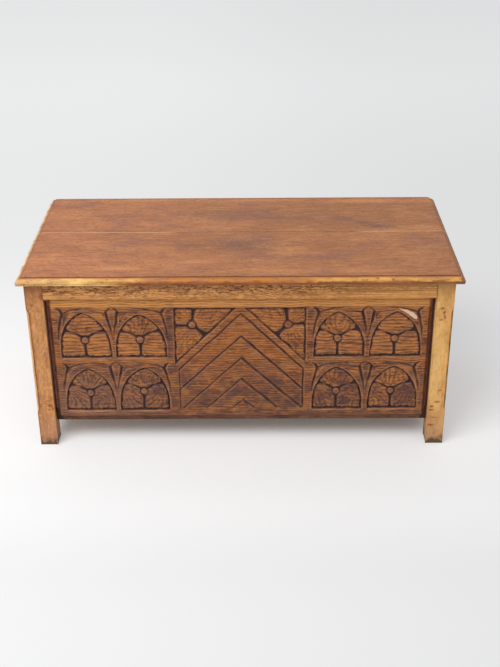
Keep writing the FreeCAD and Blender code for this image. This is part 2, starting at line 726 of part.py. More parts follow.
def nails(board_width):
    """Two nails at each end of each floor board, and four through each bearer into its rail."""
    y_front_rows = y_board + front_bottom_rail_thickness + bearer_depth / 2
    y_back_rows = y_back - rail_thickness - bearer_depth / 2
    floor_nails = []
    for index in range(floor_board_count):
        middle = -end_rail_inner_x + (index + 0.5) * board_width
        for x in (middle - board_width / 5, middle + board_width / 5):
            for y in (y_front_rows, y_back_rows):
                floor_nails.append(cut_nail((x, y, z_floor + floor_board_thickness), (0, 0, -1)))
    boards = ["floor_board_" + str(index + 1) for index in range(floor_board_count)]
    nail_down("floor_nails", floor_nails, boards + ["front_floor_bearer", "back_floor_bearer"])
    z = z_bearer_bottom + bearer_height / 2
    bearer_nails = []
    for share in (-0.75, -0.25, 0.25, 0.75):
        x = share * inner_half_width
        bearer_nails.append(cut_nail((x, y_front_rows + bearer_depth / 2, z), (0, -1, 0)))
        bearer_nails.append(cut_nail((x, y_back_rows - bearer_depth / 2, z), (0, 1, 0)))
    nail_down("floor_bearer_nails", bearer_nails,
              ["front_floor_bearer", "back_floor_bearer", "front_bottom_rail", "back_bottom_rail"])


frame()
plain_panels()
carved_front_panel()
lid_boards()
battens()
floor_board_pitch = floor()
hinges()
screws()
nails(floor_board_pitch)

os.makedirs("parts", exist_ok=True)
for node, shape in pieces.items():
    shape.exportStep("parts/" + node + ".step")
    print(node, len(shape.Solids), "solid(s)", round(shape.Volume / 1000.0, 2), "cm3")
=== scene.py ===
# %% [markdown]
# # A carved oak coffer, dressed for its portrait
#
# The joiner's model of the chest comes packed: every post, rail, board, panel and hinge stands in its place, in
# metres, with the floor at Z = 0 and the carved front facing -Y. It is square, sharp and bare. The cells below
# give each piece the shape that years and hand tools leave on it, and then its timber and polish.

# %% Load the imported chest
import math

import bpy
import numpy as np
from mathutils import Matrix, Vector


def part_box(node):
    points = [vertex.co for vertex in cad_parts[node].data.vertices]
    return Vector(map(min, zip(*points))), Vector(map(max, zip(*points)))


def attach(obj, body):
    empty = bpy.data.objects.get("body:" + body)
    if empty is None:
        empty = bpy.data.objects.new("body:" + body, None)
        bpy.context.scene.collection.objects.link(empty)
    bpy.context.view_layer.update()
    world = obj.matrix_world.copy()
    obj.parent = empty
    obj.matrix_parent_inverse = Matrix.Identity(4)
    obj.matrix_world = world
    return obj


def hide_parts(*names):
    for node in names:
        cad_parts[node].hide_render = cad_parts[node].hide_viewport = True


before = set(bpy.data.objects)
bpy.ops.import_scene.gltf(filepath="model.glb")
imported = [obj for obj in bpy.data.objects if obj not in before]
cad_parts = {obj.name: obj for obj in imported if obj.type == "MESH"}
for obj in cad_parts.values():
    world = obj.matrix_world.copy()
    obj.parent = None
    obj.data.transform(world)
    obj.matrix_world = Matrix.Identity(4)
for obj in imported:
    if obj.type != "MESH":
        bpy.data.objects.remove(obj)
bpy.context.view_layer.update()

print("pieces in the joiner's model:", len(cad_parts))

# %% [markdown]
# ## Camera
#
# The chest is seen from a little right of its middle, from 1.5 m up and 2.5 m away, looking down at 28 degrees.
# A camera's turn can be given as three angles, or as the three directions that it holds: its right, its up and
# its back. The directions are worked out here from the three angles, because a slight roll is then one more line.

# %% Camera
CAMERA_PLACE = (0.04021, -2.46717, 1.48981)
FOCAL_PIXELS = 1093.42
IMAGE_HEIGHT = 667
SENSOR = 36
PITCH, YAW, ROLL = (math.radians(angle) for angle in (27.904, -0.438, -0.471))

ahead = Vector((math.sin(YAW) * math.cos(PITCH), math.cos(YAW) * math.cos(PITCH), -math.sin(PITCH)))
level_right = Vector((math.cos(YAW), -math.sin(YAW), 0))
level_up = level_right.cross(ahead)
right = level_right * math.cos(ROLL) + level_up * math.sin(ROLL)
up = level_up * math.cos(ROLL) - level_right * math.sin(ROLL)

camera = bpy.data.objects.new("camera", bpy.data.cameras.new("camera"))
camera.data.sensor_width = SENSOR
camera.data.lens = FOCAL_PIXELS / IMAGE_HEIGHT * SENSOR
camera.matrix_world = Matrix.Translation(CAMERA_PLACE) @ Matrix((right, up, -ahead)).transposed().to_4x4()
bpy.context.scene.collection.objects.link(camera)
bpy.context.scene.camera = camera
print("lens", round(camera.data.lens, 2), "mm")

# %% [markdown]
# ## Tools for colours
#
# Every material is a recipe: noises and distances worked out at each point and turned into shares of a few
# colours. Adding each node by hand takes four lines. A small class that adds a node, fills its sockets and hands
# back its result makes a recipe read like a sum. Colours are written as a screen stores them, with red, green and
# blue from 0 to 255, and turned into light where they enter a node.

# %% Tools for colours
def to_linear(red, green, blue):
    """A colour from 0 to 255 as screens store it, turned into the amounts of light that Blender works with."""
    share = np.array([red, green, blue]) / 255
    light = np.where(share <= 0.04045, share / 12.92, ((share + 0.055) / 1.055) ** 2.4)
    return (*light, 1)


class Recipe:
    """A material in the making: small helpers that add a node and set or link its sockets."""

    def __init__(self, material_name):
        self.material = bpy.data.materials.new(material_name)
        self.material.use_nodes = True
        self.tree = self.material.node_tree
        self.shader = self.tree.nodes["Principled BSDF"]
        self.coordinates = self.node("ShaderNodeTexCoord").outputs["Object"]

    def node(self, kind, settings=(), **inputs):
        """A new node. Its inputs go by name, with _ for a space, or as in0, in1 by their place."""
        made = self.tree.nodes.new(kind)
        for name, value in dict(settings).items():
            setattr(made, name, value)
        for name, value in inputs.items():
            numbered = name[:2] == "in" and name[2:].isdigit()
            self.feed(made, int(name[2:]) if numbered else name.replace("_", " "), value)
        return made

    def feed(self, node, socket_name, value):
        """Links a socket to the result of another node, or sets it to a number."""
        socket = node.inputs[socket_name]
        if isinstance(value, bpy.types.NodeSocket):
            self.tree.links.new(value, socket)
        else:
            socket.default_value = value

    def math(self, kind, a, b=0, clamp=False):
        return self.node("ShaderNodeMath", {"operation": kind, "use_clamp": clamp}, in0=a, in1=b).outputs[0]

    def times(self, a, b):
        return self.math("MULTIPLY", a, b)

    def ramp(self, value, low, high, to_low=0, to_high=1):
        """A value taken from one range to another, smoothly and without going past its ends."""
        return self.node("ShaderNodeMapRange", {"interpolation_type": "SMOOTHSTEP"}, Value=value, From_Min=low,
                         From_Max=high, To_Min=to_low, To_Max=to_high).outputs["Result"]

    def mix(self, share, a, b):
        """A share of colour b over colour a, each red, green and blue up to 255 or the result of a node."""
        node = self.node("ShaderNodeMix", {"data_type": "RGBA"}, in0=share)
        for place, colour in ((6, a), (7, b)):
            self.feed(node, place, to_linear(*colour) if isinstance(colour, tuple) else colour)
        return node.outputs[2]

    def lay(self, colour, *layers):
        """Colours laid over another in turn. Each layer is its share and its colour."""
        for share, paint in layers:
            colour = self.mix(share, colour, paint)
        return colour

    def stretched(self, scale, shift=(0, 0, 0)):
        """Object coordinates, in metres, times a scale on each axis."""
        return self.node("ShaderNodeMapping", Vector=self.coordinates, Location=shift,
                         Scale=scale).outputs["Vector"]

    def noise(self, scale, detail=3, roughness=0.55, distortion=0, shift=(0, 0, 0)):
        return self.node("ShaderNodeTexNoise", Vector=self.stretched(scale, shift), Scale=1, Detail=detail,
                         Roughness=roughness, Distortion=distortion).outputs["Fac"]

    def frayed(self, value, scale, by, detail=3):
        """A value moved up and down by a noise, so that what is made from it gets a ragged edge."""
        return self.math("ADD", value, self.ramp(self.noise(scale, detail), 0.3, 0.7, -by, by))

    def attribute(self, name):
        return self.node("ShaderNodeAttribute", {"attribute_name": name}).outputs["Fac"]

    def place(self, axis):
        return self.node("ShaderNodeSeparateXYZ", Vector=self.coordinates).outputs[axis]

    def spot(self, middle, halves, soft=0.5, ragged=0.25):
        """1 inside a ragged ellipsoid given in metres, falling to 0 at its rim over the soft share of its size."""
        scale = [1 / half for half in halves]
        shift = [-m * s for m, s in zip(middle, scale)]
        reach = self.node("ShaderNodeVectorMath", {"operation": "LENGTH"}, in0=self.stretched(scale, shift))
        return self.ramp(self.frayed(reach.outputs["Value"], (190,) * 3, ragged), 1 - soft, 1, 1, 0)


print("tools for colours ready")

# %% [markdown]
# ## Light and floor
#
# The chest stands on a pale sheet of paper, in even light that comes mostly from above and the left. One large
# lamp would give a hard edge to the shadow, and many small ones are slow. A pale sky all round, with one wide
# lamp, gives the soft grey shadow under the chest and leaves the colours as they are written.
#
# The paper is paler beside the chest than in front of it, and a little darker towards the right: this is painted
# light in its tone, following how the light falls there. A glow makes it show a little brighter than it is lit,
# except under the chest, where the glow is cut down and leaves a painted shadow.

# %% Light and floor
world = bpy.data.worlds.new("studio")
world.use_nodes = True
sky_tree = world.node_tree
sky = sky_tree.nodes["Background"]
sky.inputs["Color"].default_value = (0.975, 0.985, 1, 1)
sky_place = sky_tree.nodes.new("ShaderNodeTexCoord")
sky_height = sky_tree.nodes.new("ShaderNodeSeparateXYZ")
sky_level = sky_tree.nodes.new("ShaderNodeMapRange")
for name, level in (("From Min", 0), ("From Max", 1), ("To Min", 0.40), ("To Max", 0.78)):
    sky_level.inputs[name].default_value = level
sky_tree.links.new(sky_place.outputs["Generated"], sky_height.inputs[0])
sky_tree.links.new(sky_height.outputs["Z"], sky_level.inputs["Value"])
sky_tree.links.new(sky_level.outputs["Result"], sky.inputs["Strength"])
bpy.context.scene.world = world

bpy.context.scene.view_settings.view_transform = "Standard"

LAMP_PLACE, LAMP_TARGET = Vector((-1.6, -2.1, 3.3)), Vector((0, 0, 0.2))
LAMP_SIZE, LAMP_POWER = 2.4, 116
lamp = bpy.data.objects.new("window", bpy.data.lights.new("window", "AREA"))
lamp.data.size, lamp.data.energy = LAMP_SIZE, LAMP_POWER
lamp.location = LAMP_PLACE
lamp.rotation_euler = (LAMP_TARGET - LAMP_PLACE).to_track_quat("-Z", "Y").to_euler()
bpy.context.scene.collection.objects.link(lamp)

# Painted light in the paper's tone: it rises to 248 just beside the chest, where the light is strongest, and is
# darker in front of it.
#              Y in metres, tone
PAPER_TONES_AND_LIGHT = [(-1.2, 227), (-0.74, 231), (-0.45, 241), (-0.13, 248), (0.94, 236), (3.3, 252)]
PAPER_GLOW = 0.36
PAPER_HALF = 30

paper = Recipe("paper")
paper.feed(paper.shader, "Roughness", 0.9)
paper.feed(paper.shader, "Specular IOR Level", 0.1)
across, away = paper.place("X"), paper.place("Y")
tones = [(place, to_linear(tone, tone, tone)[0]) for place, tone in PAPER_TONES_AND_LIGHT]
tone = paper.ramp(away, tones[0][0], tones[1][0], tones[0][1], tones[1][1])
for (near, first), (far, last) in zip(tones[1:], tones[2:]):
    tone = paper.math("ADD", tone, paper.ramp(away, near, far, 0, last - first))
# Painted light: the paper is painted a little darker towards the right, away from the lamp.
tone = paper.times(tone, paper.ramp(across, -0.8, 0.8, 1, 0.94))
paper.feed(paper.shader, "Base Color", tone)

# Painted shadow: under the chest the paper's glow is cut to a fifth, which darkens the floor there.
under = paper.times(paper.ramp(away, -0.25, -0.12), paper.ramp(away, 0.12, 0.25, 1, 0))
under = paper.times(under, paper.ramp(paper.math("ABSOLUTE", across), 0.42, 0.52, 1, 0))
ray = paper.node("ShaderNodeLightPath")
seen = ray.outputs["Is Camera Ray"]
for kind in ("Is Glossy Ray", "Is Transmission Ray"):
    seen = paper.math("MAXIMUM", seen, ray.outputs[kind])
share = paper.times(seen, paper.ramp(under, 0, 1, PAPER_GLOW, 0.2 * PAPER_GLOW))
glow = paper.node("ShaderNodeEmission", Color=tone)
blend = paper.node("ShaderNodeMixShader", in0=share, in1=paper.shader.outputs[0], in2=glow.outputs[0])
paper.tree.links.new(blend.outputs[0], paper.tree.nodes["Material Output"].inputs["Surface"])

floor_mesh = bpy.data.meshes.new("floor")
corners = [(x * PAPER_HALF, y * PAPER_HALF, 0) for x, y in ((-1, -1), (1, -1), (1, 1), (-1, 1))]
floor_mesh.from_pydata(corners, [], [(0, 1, 2, 3)])
floor_mesh.materials.append(paper.material)
floor = bpy.data.objects.new("floor", floor_mesh)
bpy.context.scene.collection.objects.link(floor)
print("floor and lamp set")

# %% [markdown]
# ## Oak
#
# Oak is told by four things: slow bands of lighter and darker growth along the board, short dark pores that lie
# in them like dashes, the colour that changes from one end of a board to the other, and the polish. A picture of
# timber would repeat and would stop at the arrises. A recipe of noises on the piece's own coordinates goes
# through the board, so the end of a rail shows the cut ends of the same bands. The noise is stretched along the
# grain, which is X for rails, Z for posts and Y for battens.
#
# Pieces that are carved or worn carry two numbers at each vertex. One marks the hollows, where dirt and polish
# gather and where shade is painted dark. The other, `edge`, marks where hands have rubbed the stain away; on the
# lid it covers the whole moulding, whose colour also holds painted light and shade. The same recipe reads them on
# every piece; where a piece has none, they read as nothing.

# %% The oak recipe
def oak(name, axis, light, dark, pore, shift=0, drift=0.3, band=0.4, blotch=0.35, pores=0.5, coarse=0,
        coarse_scale=(46, 270), grit=0.22, rough=(0.42, 0.58), gloss=0.25, worn=None, shade_and_grime=None, tint=None,
        bump=0.25):
    """Oak with its grain along an axis. light and dark are the two ends of its slow colour, and pore the colour of
    the dashes. drift, band, blotch, pores, coarse and grit say how strong each part is: grit is a fine unevenness,
    a few millimetres long. worn is the colour of rubbed edges; for the lid it is the moulding's colour, which also
    holds painted light and shade. The colour for hollows stands for dirt and painted shade together. tint may add
    layers of colour of the piece's own."""
    recipe = Recipe(name)
    offset = (shift, shift * 1.7, shift * 2.3)

    def grain(with_grain, across, detail=3, roughness=0.55, distortion=0):
        scale = [with_grain if index == axis else across for index in range(3)]
        return recipe.noise(scale, detail, roughness, distortion, offset)

    fine = grain(9, 330, 3, 0.65, 0.1)
    tone = recipe.math("ADD", recipe.times(recipe.ramp(grain(1.6, 7, 2), 0.3, 0.7), drift),
                       recipe.times(recipe.ramp(grain(2.4, 80, 4, 0.6, 0.25), 0.32, 0.68), band))
    tone = recipe.math("ADD", tone, recipe.times(recipe.ramp(fine, 0.3, 0.7), 1 - drift - band))
    mottle = recipe.ramp(grain(13, 34, 4, 0.6, 0.4), 0.3, 0.7, -1, 1)
    tone = recipe.math("ADD", tone, recipe.times(mottle, blotch), True)
    colour = recipe.mix(tone, light, dark)
    if grit:
        speckle = grain(48, 240, 3, 0.7, 0.2)
        colour = recipe.lay(colour, (recipe.ramp(speckle, 0.49, 0.66, 0, 1.7 * grit), pore),
                            (recipe.ramp(speckle, 0.51, 0.34, 0, 1.7 * grit), light))
    open_pores = recipe.times(recipe.ramp(grain(55, 1000, 2, 0.6), 0.56, 0.70),
                              recipe.ramp(grain(14, 60, 2, 0.5), 0.35, 0.62))
    if coarse:
        wide_pores = recipe.times(recipe.ramp(grain(*coarse_scale, 3, 0.62, 0.15), 0.51, 0.61),
                                  recipe.ramp(grain(7, 24, 2, 0.5), 0.34, 0.58, 0.55, 1))
        colour = recipe.mix(recipe.times(wide_pores, coarse), colour, pore)
        open_pores = recipe.math("MAXIMUM", open_pores, recipe.times(wide_pores, min(coarse, 1)))
    pore_depth = recipe.times(open_pores, pores)
    colour = recipe.mix(pore_depth, colour, pore)
    if tint:
        colour = tint(recipe, colour)
    hollow, edge = recipe.attribute("hollow"), recipe.attribute("edge")
    if worn:
        patch = recipe.ramp(grain(20, 60), 0.35, 0.65, 0.35, 1)
        colour = recipe.mix(recipe.times(edge, patch), colour, worn(recipe) if callable(worn) else worn)
    # Hollows are darkened for dirt and for painted shade alike.
    if shade_and_grime:
        colour = recipe.mix(hollow, colour, shade_and_grime)
    recipe.feed(recipe.shader, "Base Color", colour)
    roughness = recipe.math("ADD", recipe.ramp(grain(30, 45), 0.3, 0.7, *rough),
                            recipe.times(recipe.math("MAXIMUM", open_pores, hollow), 0.25), True)
    recipe.feed(recipe.shader, "Roughness", roughness)
    recipe.feed(recipe.shader, "Specular IOR Level", gloss)
    relief = recipe.math("SUBTRACT", recipe.times(fine, 0.35), pore_depth)
    raised = recipe.node("ShaderNodeBump", Height=relief, Strength=bump, Distance=0.0006)
    recipe.feed(recipe.shader, "Normal", raised.outputs["Normal"])
    return recipe.material


print("recipe ready")

# %% [markdown]
# ## A piece from arrays
#
# Every new shape below is worked out as arrays of points in millimetres, and becomes a mesh here in one place.
# Its faces have to look outwards, or the shadows go wrong. The sign of the enclosed volume tells: if it comes out
# negative, every face is turned over at once.

# %% A piece from arrays
def quads_between(rows, columns, wrap=False):
    """Corner numbers of the squares of a grid whose points are numbered row by row. With wrap the last column
    joins the first, which makes a tube."""
    last = columns if wrap else columns - 1
    row, column = np.meshgrid(np.arange(rows - 1), np.arange(last), indexing="ij")
    following = (column + 1) % columns
    corners = [row * columns + column, row * columns + following,
               (row + 1) * columns + following, (row + 1) * columns + column]
    return np.stack(corners, axis=-1).reshape(-1, 4)


def enclosed_volume(points, faces):
    """Volume inside a closed surface: the sum of the small pyramids from the origin to each of its triangles."""
    total = 0
    for face_set in faces:
        first = points[face_set[:, 0]]
        for k in range(1, face_set.shape[1] - 1):
            normal = np.cross(points[face_set[:, k]], points[face_set[:, k + 1]])
            total += np.einsum("ij,ij->i", first, normal).sum()
    return total / 6


def make_piece(name, points, faces, body, slot, material, nodes, sharp=35, **numbers):
    """A closed surface as a Blender piece. points are in millimetres, and faces is a list of arrays, each of
    faces with as many corners as the others in it. numbers are values at each point, such as hollow=..."""
    if enclosed_volume(points, faces) < 0:
        faces = [face_set[:, ::-1] for face_set in faces]
    mesh = bpy.data.meshes.new(name)
    corners = np.concatenate([face_set.ravel() for face_set in faces])
    sizes = np.concatenate([np.full(len(face_set), face_set.shape[1]) for face_set in faces])
    mesh.vertices.add(len(points))
    mesh.vertices.foreach_set("co", (points / 1000).astype(np.float32).ravel())
    mesh.loops.add(len(corners))
    mesh.loops.foreach_set("vertex_index", corners.astype(np.int32))
    mesh.polygons.add(len(sizes))
    mesh.polygons.foreach_set("loop_start", (np.cumsum(sizes) - sizes).astype(np.int32))
    mesh.polygons.foreach_set("loop_total", sizes.astype(np.int32))
    mesh.update(calc_edges=True)
    mesh.validate()
    mesh.polygons.foreach_set("use_smooth", np.ones(len(mesh.polygons), bool))
    mesh.set_sharp_from_angle(angle=math.radians(sharp))
    for number, values in numbers.items():
        stored = mesh.attributes.new(number, "FLOAT", "POINT").data
        stored.foreach_set("value", values.astype(np.float32).ravel())
    mesh.materials.append(material)
    piece = bpy.data.objects.new(name, mesh)
    bpy.context.scene.collection.objects.link(piece)
    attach(piece, body)
    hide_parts(*nodes)
    print(name, len(mesh.polygons), "faces")


def millimetres(node):
    """Where a piece of the joiner's model stands: its lowest and highest corner."""
    low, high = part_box(node)
    return np.array(low) * 1000, np.array(high) * 1000


def coloured(name, material):
    """Gives a piece of the joiner's model, which keeps its own shape, a material."""
    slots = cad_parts[name].data.materials
    slots.clear()
    slots.append(material)


# %% [markdown]
# ## Unevenness
#
# A worn arris is never the same for long. Two seeded noises are enough for every piece: `waver` runs along a
# line, as a few sine waves with chance phases, and `cloud` lies over a surface, as chance values on a square
# lattice with a smooth curve between them.

# %% Unevenness
def smooth(share):
    """A ramp from 0 to 1 that starts and ends gently: 3 t^2 - 2 t^3, for t held between 0 and 1."""
    held = np.clip(share, 0, 1)
    return held * held * (3 - 2 * held)


def waver(distance, wavelength, seed):
    """A wandering value between about -1 and 1 along a line: five sines, each shorter than the last."""
    chance = np.random.default_rng(seed)
    total = np.zeros_like(distance, dtype=float)
    for step in range(5):
        total += np.sin(distance * 2 * math.pi / wavelength * 1.83 ** step + chance.uniform(0, 7)) * 0.62 ** step
    return total / 1.9


def cloud(a, b, cell, seed):
    """A soft value between 0 and 1 over a surface: chance numbers on a square lattice, joined smoothly."""
    table = np.random.default_rng(seed).random((97, 97))
    column, row = np.floor(a / cell).astype(int), np.floor(b / cell).astype(int)
    across, along_b = smooth(a / cell - column), smooth(b / cell - row)

    def corner(i, j):
        return table[(column + i) % 97, (row + j) % 97]

    low = corner(0, 0) * (1 - across) + corner(1, 0) * across
    high = corner(0, 1) * (1 - across) + corner(1, 1) * across
    return low * (1 - along_b) + high * along_b


print("a waver over one metre, mm:", np.round(waver(np.linspace(0, 1000, 5), 200, 1), 2))

# %% [markdown]
# ## Rails, posts and boards
#
# A rail is a rectangle carried along a line, so it is made that way: at each station along its length there is
# a loop of points round its section, and neighbouring loops are joined with squares. Each of the four arrises
# is a small arc whose radius wavers along the length. Bevelling a cube in Blender would round all arrises
# alike; here each one wears by itself, and a stopped chamfer is just an arris whose cut grows and dies away.

# %% A section carried along a line
ARC_STEPS = 5
LONG_WAVE, SHORT_WAVE = 170, 61  # of the wear along an arris, in millimetres


def section_loop(low_a, high_a, low_b, high_b, cuts, flats):
    """Loops round a rectangle with cut corners. low and high are the sides at each station; cuts holds the
    size of each corner's cut, and flats how straight it is: 0 is an arc and 1 a flat chamfer."""
    angle = np.linspace(0, math.pi / 2, ARC_STEPS)
    arc = 1 - np.stack([np.sin(angle), np.cos(angle)])
    chord = np.stack([np.linspace(1, 0, ARC_STEPS), np.linspace(0, 1, ARC_STEPS)])
    loops = []
    for number, (sign_a, sign_b) in enumerate(((1, 1), (-1, 1), (-1, -1), (1, -1))):
        cut, flat = cuts[number][:, None], flats[number][:, None]
        shape = (1 - flat[..., None]) * arc.T[None] + flat[..., None] * chord.T[None]
        if number % 2:
            shape = shape[:, ::-1]
        side_a = (low_a if sign_a > 0 else high_a)[:, None]
        side_b = (low_b if sign_b > 0 else high_b)[:, None]
        loops.append(np.stack([side_a + sign_a * cut * shape[..., 0], side_b + sign_b * cut * shape[..., 1]], -1))
    return np.concatenate(loops, axis=1)


def plain_arris(stations, corner):
    """No chamfer of its own, no flatness and no painted shade."""
    return 0 * stations, 0 * stations, 0 * stations


def carried(node, axis, slot, material, arris=0.9, wander=0.5, seed=0, spacing=8, chamfers=plain_arris,
            end_cut=0, tenon=0):
    """A piece of the carcase made again as a section carried along one axis, with worn arrises.
    chamfers(stations, corner number) gives the cut, flatness and painted shade of an arris, and tenon is the length
    hidden in a mortise at each end, which is left off."""
    low, high = millimetres(node)
    low[axis] += tenon
    high[axis] -= tenon
    a, b = (index for index in range(3) if index != axis)
    first, last = low[axis], high[axis]
    inner = np.linspace(first, last, max(int((last - first) / spacing), 4))[1:-1]
    lead = max(end_cut, 0.2) * 0.3
    stations = np.concatenate([[first, first + lead], inner, [last - lead, last]])
    tuck = np.zeros_like(stations)
    tuck[[0, -1]] = end_cut
    tuck[[1, -2]] = end_cut * 0.3
    cuts, flats, arris_shade = [], [], []
    for corner in range(4):
        cut = arris * (1 + wander * waver(stations, LONG_WAVE, seed * 10 + corner))
        cut = cut + 1.4 * arris * np.clip(waver(stations, SHORT_WAVE, seed * 10 + corner + 5) - 0.75, 0, 1)
        own_cut, own_flat, own_arris_shade = chamfers(stations, corner)
        cuts.append(np.maximum(cut, own_cut))
        flats.append(own_flat)
        arris_shade.append(own_arris_shade)
    loop = section_loop(low[a] + tuck, high[a] - tuck, low[b] + tuck, high[b] - tuck, cuts, flats)
    rows, columns = loop.shape[:2]
    points = np.zeros((rows, columns, 3))
    points[..., axis] = stations[:, None]
    points[..., a], points[..., b] = loop[..., 0], loop[..., 1]
    caps = np.stack([np.arange(columns)[::-1], (rows - 1) * columns + np.arange(columns)])
    corner_of = np.repeat(np.arange(4), ARC_STEPS)
    middle = np.tile(np.abs(np.arange(ARC_STEPS) - ARC_STEPS // 2) < 2, 4)
    # Painted shade on the right front post's chamfer, which faces away from the light: it takes the colour of
    # hollows and is not rubbed pale.
    size, shaded = np.stack(cuts)[corner_of].T, np.stack(arris_shade)[corner_of].T
    edge = np.clip((size - 0.5 * arris) / (1.5 * arris), 0, 1) * middle * (1 - shaded)
    make_piece(node + "_worn", points.reshape(-1, 3), [quads_between(rows, columns, wrap=True), caps], "carcase",
               slot, material, (node,), edge=edge, hollow=0.8 * shaded * middle)


print("points round one section:", 4 * ARC_STEPS)

# %% [markdown]
# ## The frame of the chest
#
# Four posts stand at the corners and run down to be the feet, with rails tenoned between them. The front posts
# have a stopped chamfer on the outer arris, which starts above the foot and dies out under the top rail. The
# feet are rubbed and dented, the lower arrises most of all, because the chest has been dragged over floors.

# %% Timbers of the frame
PORE, KNOT = (88, 50, 26), (104, 50, 28)
# The colour of rubbed edges, and the dark colour of hollows, which on the right post's chamfer is painted shade.
WEAR_AND_SHADE = {"worn": (226, 176, 120), "shade_and_grime": (46, 26, 16)}


def on_face(rows, axis, level, half):
    """Spots on a face that looks along an axis, in millimetres. A row is a spot's place along the other two axes,
    its half sizes along them and its strength; level and half are its place and half size along the axis."""
    spots = []
    for a, b, half_a, half_b, strength in rows:
        middle, halves = [a, b], [half_a, half_b]
        middle.insert(axis, level)
        halves.insert(axis, half)
        spots.append(([m / 1000 for m in middle], [h / 1000 for h in halves], strength))
    return spots


def spotted(recipe, colour, spots, paint, soft=0.5):
    """Lays ragged spots of one colour over another. Each spot is its middle, its half sizes and its strength."""
    return recipe.lay(colour, *((recipe.times(recipe.spot(middle, halves, soft), strength), paint)
                                for middle, halves, strength in spots))


def post_wear(spots, shade_under_lid, mottle=1):
    """Dust and damp darken the last centimetres of a foot, and painted shade darkens the top under the lid; knots
    and bruises lie between. mottle says how patchy the post is."""
    def tint(recipe, colour):
        height = recipe.frayed(recipe.place("Z"), (70,) * 3, 0.010)
        for shift, scale, share, paint in ((5, 130, 0.3, (150, 92, 52)), (9, 170, 0.4, (236, 176, 108)),
                                           (13, 30, 0.35, (150, 98, 62))):
            patch = recipe.noise((scale, scale, scale * 0.6), 3, 0.6, 0, (shift,) * 3)
            colour = recipe.mix(recipe.ramp(patch, 0.50, 0.66, 0, share * mottle), colour, paint)
        # Pinkish grey towards the foot, and painted shade at the top of the post, under the lid.
        colour = recipe.lay(colour, (recipe.ramp(height, 0.02, 0.12, 0.5, 0), (158, 110, 92)),
                            (recipe.ramp(height, 0.36, 0.44, 0, shade_under_lid), (150, 92, 52)))
        halos = [(middle, [1.7 * half for half in halves], 0.8 * strength) for middle, halves, strength in spots]
        colour = spotted(recipe, colour, halos, (186, 112, 52), 0.8)
        colour = spotted(recipe, colour, spots, KNOT)
        return recipe.lay(colour, (recipe.ramp(height, 0.010, 0.032, 0.6, 0), (120, 90, 60)),
                          (recipe.ramp(height, 0.003, 0.016, 0.85, 0), (76, 58, 42)))
    return tint


#             x, z, half sizes along them, strength
LEFT_SPOTS = [(-458.5, 111, 7, 6, 0.6), (-468, 116, 6, 3, 0.5), (-461, 100, 5, 3, 0.5), (-462, 123, 8.5, 3, 0.5),
              (-453, 103, 4, 6, 0.6), (-454, 131, 3, 5.5, 0.4), (-476, 380, 4, 5, 0.5), (-453, 402, 6, 14, 0.55),
              (-448.7, 415, 2.2, 34, 0.8)]
RIGHT_SPOTS = [(464, 367, 5.5, 3.5, 0.6), (469, 356, 3.5, 5, 0.65), (471, 344, 4, 5.5, 0.6),
               (463, 338, 4.5, 3.5, 0.4), (457, 104, 6, 3.5, 0.75), (470, 116, 7.5, 4.5, 0.5),
               (456, 95, 7, 2.8, 0.75), (464, 74, 11, 2.5, 0.4), (459, 53, 10, 3.5, 0.6),
               (474, 148, 5, 3.5, 0.4), (448.7, 415, 2, 34, 0.75)]
POST_FACE = (1, -231, 20)

left_post_oak = oak("left_post_oak", 2, (200, 142, 88), (160, 102, 60), PORE, 0, 0.35, 0.3, 0.45, pores=0.3,
                    grit=0.1, tint=post_wear(on_face(LEFT_SPOTS, *POST_FACE), 0.55), **WEAR_AND_SHADE)
right_post_oak = oak("right_post_oak", 2, (228, 178, 108), (196, 144, 80), PORE, 2.6, 0.35, 0.3, 0.45, pores=0.12,
                     grit=0.1, tint=post_wear(on_face(RIGHT_SPOTS, *POST_FACE), 0.25, 0.6), **WEAR_AND_SHADE)


def rail_colours(recipe, colour):
    """Golden towards the right and along the lower part, with fine brown lines that are strongest at the right, and
    brown painted shade at the top, where the lid's shadow falls."""
    x, z = recipe.place("X"), recipe.place("Z")
    fine_lines = recipe.ramp(recipe.noise((6, 6, 620), 2), 0.46, 0.62, 0, 0.75)
    return recipe.lay(colour, (recipe.ramp(x, 0.05, 0.40, 0, 0.55), (226, 164, 90)),
                      (recipe.ramp(z, 0.416, 0.400, 0, 0.45), (206, 146, 82)),
                      (recipe.times(fine_lines, recipe.ramp(x, 0.02, 0.30, 0.6, 1)), (150, 94, 46)),
                      # Painted shadow of the lid along the top of the rail.
                      (recipe.ramp(z, 0.427, 0.437, 0, 0.55), (112, 62, 38)))


def low_rail_end_shade(recipe, colour):
    """Painted shade: the low rail is painted nearly black at its ends, in the recess beside the posts."""
    from_middle = recipe.math("ABSOLUTE", recipe.place("X"))
    return recipe.mix(recipe.ramp(from_middle, 0.430, 0.437, 0, 0.9), colour, (46, 30, 28))


rail_oak = oak("rail_oak", 0, (232, 166, 100), (180, 116, 64), (76, 40, 20), 4, 0.2, 0.3, 0.3, pores=0.7, coarse=1,
               coarse_scale=(110, 500), grit=0.5, tint=rail_colours, **WEAR_AND_SHADE)
# Painted shade: the low rail stands back under the field, so its oak is painted darker than the rest.
shaded_low_rail_oak = oak("shaded_low_rail_oak", 0, (134, 88, 62), (98, 62, 44), (52, 30, 22), 9, coarse=0.4, worn=(150, 104, 76),
                   shade_and_grime=WEAR_AND_SHADE["shade_and_grime"], tint=low_rail_end_shade)
plain_oak = oak("plain_oak", 0, (190, 134, 86), (146, 98, 58), PORE, 9, coarse=0.4, **WEAR_AND_SHADE)
end_oak = oak("end_oak", 2, (192, 134, 86), (146, 96, 58), PORE, 13, coarse=0.3, **WEAR_AND_SHADE)
end_rail_oak = oak("end_rail_oak", 1, (196, 138, 88), (150, 100, 60), PORE, 17, coarse=0.5, worn=WEAR_AND_SHADE["worn"])

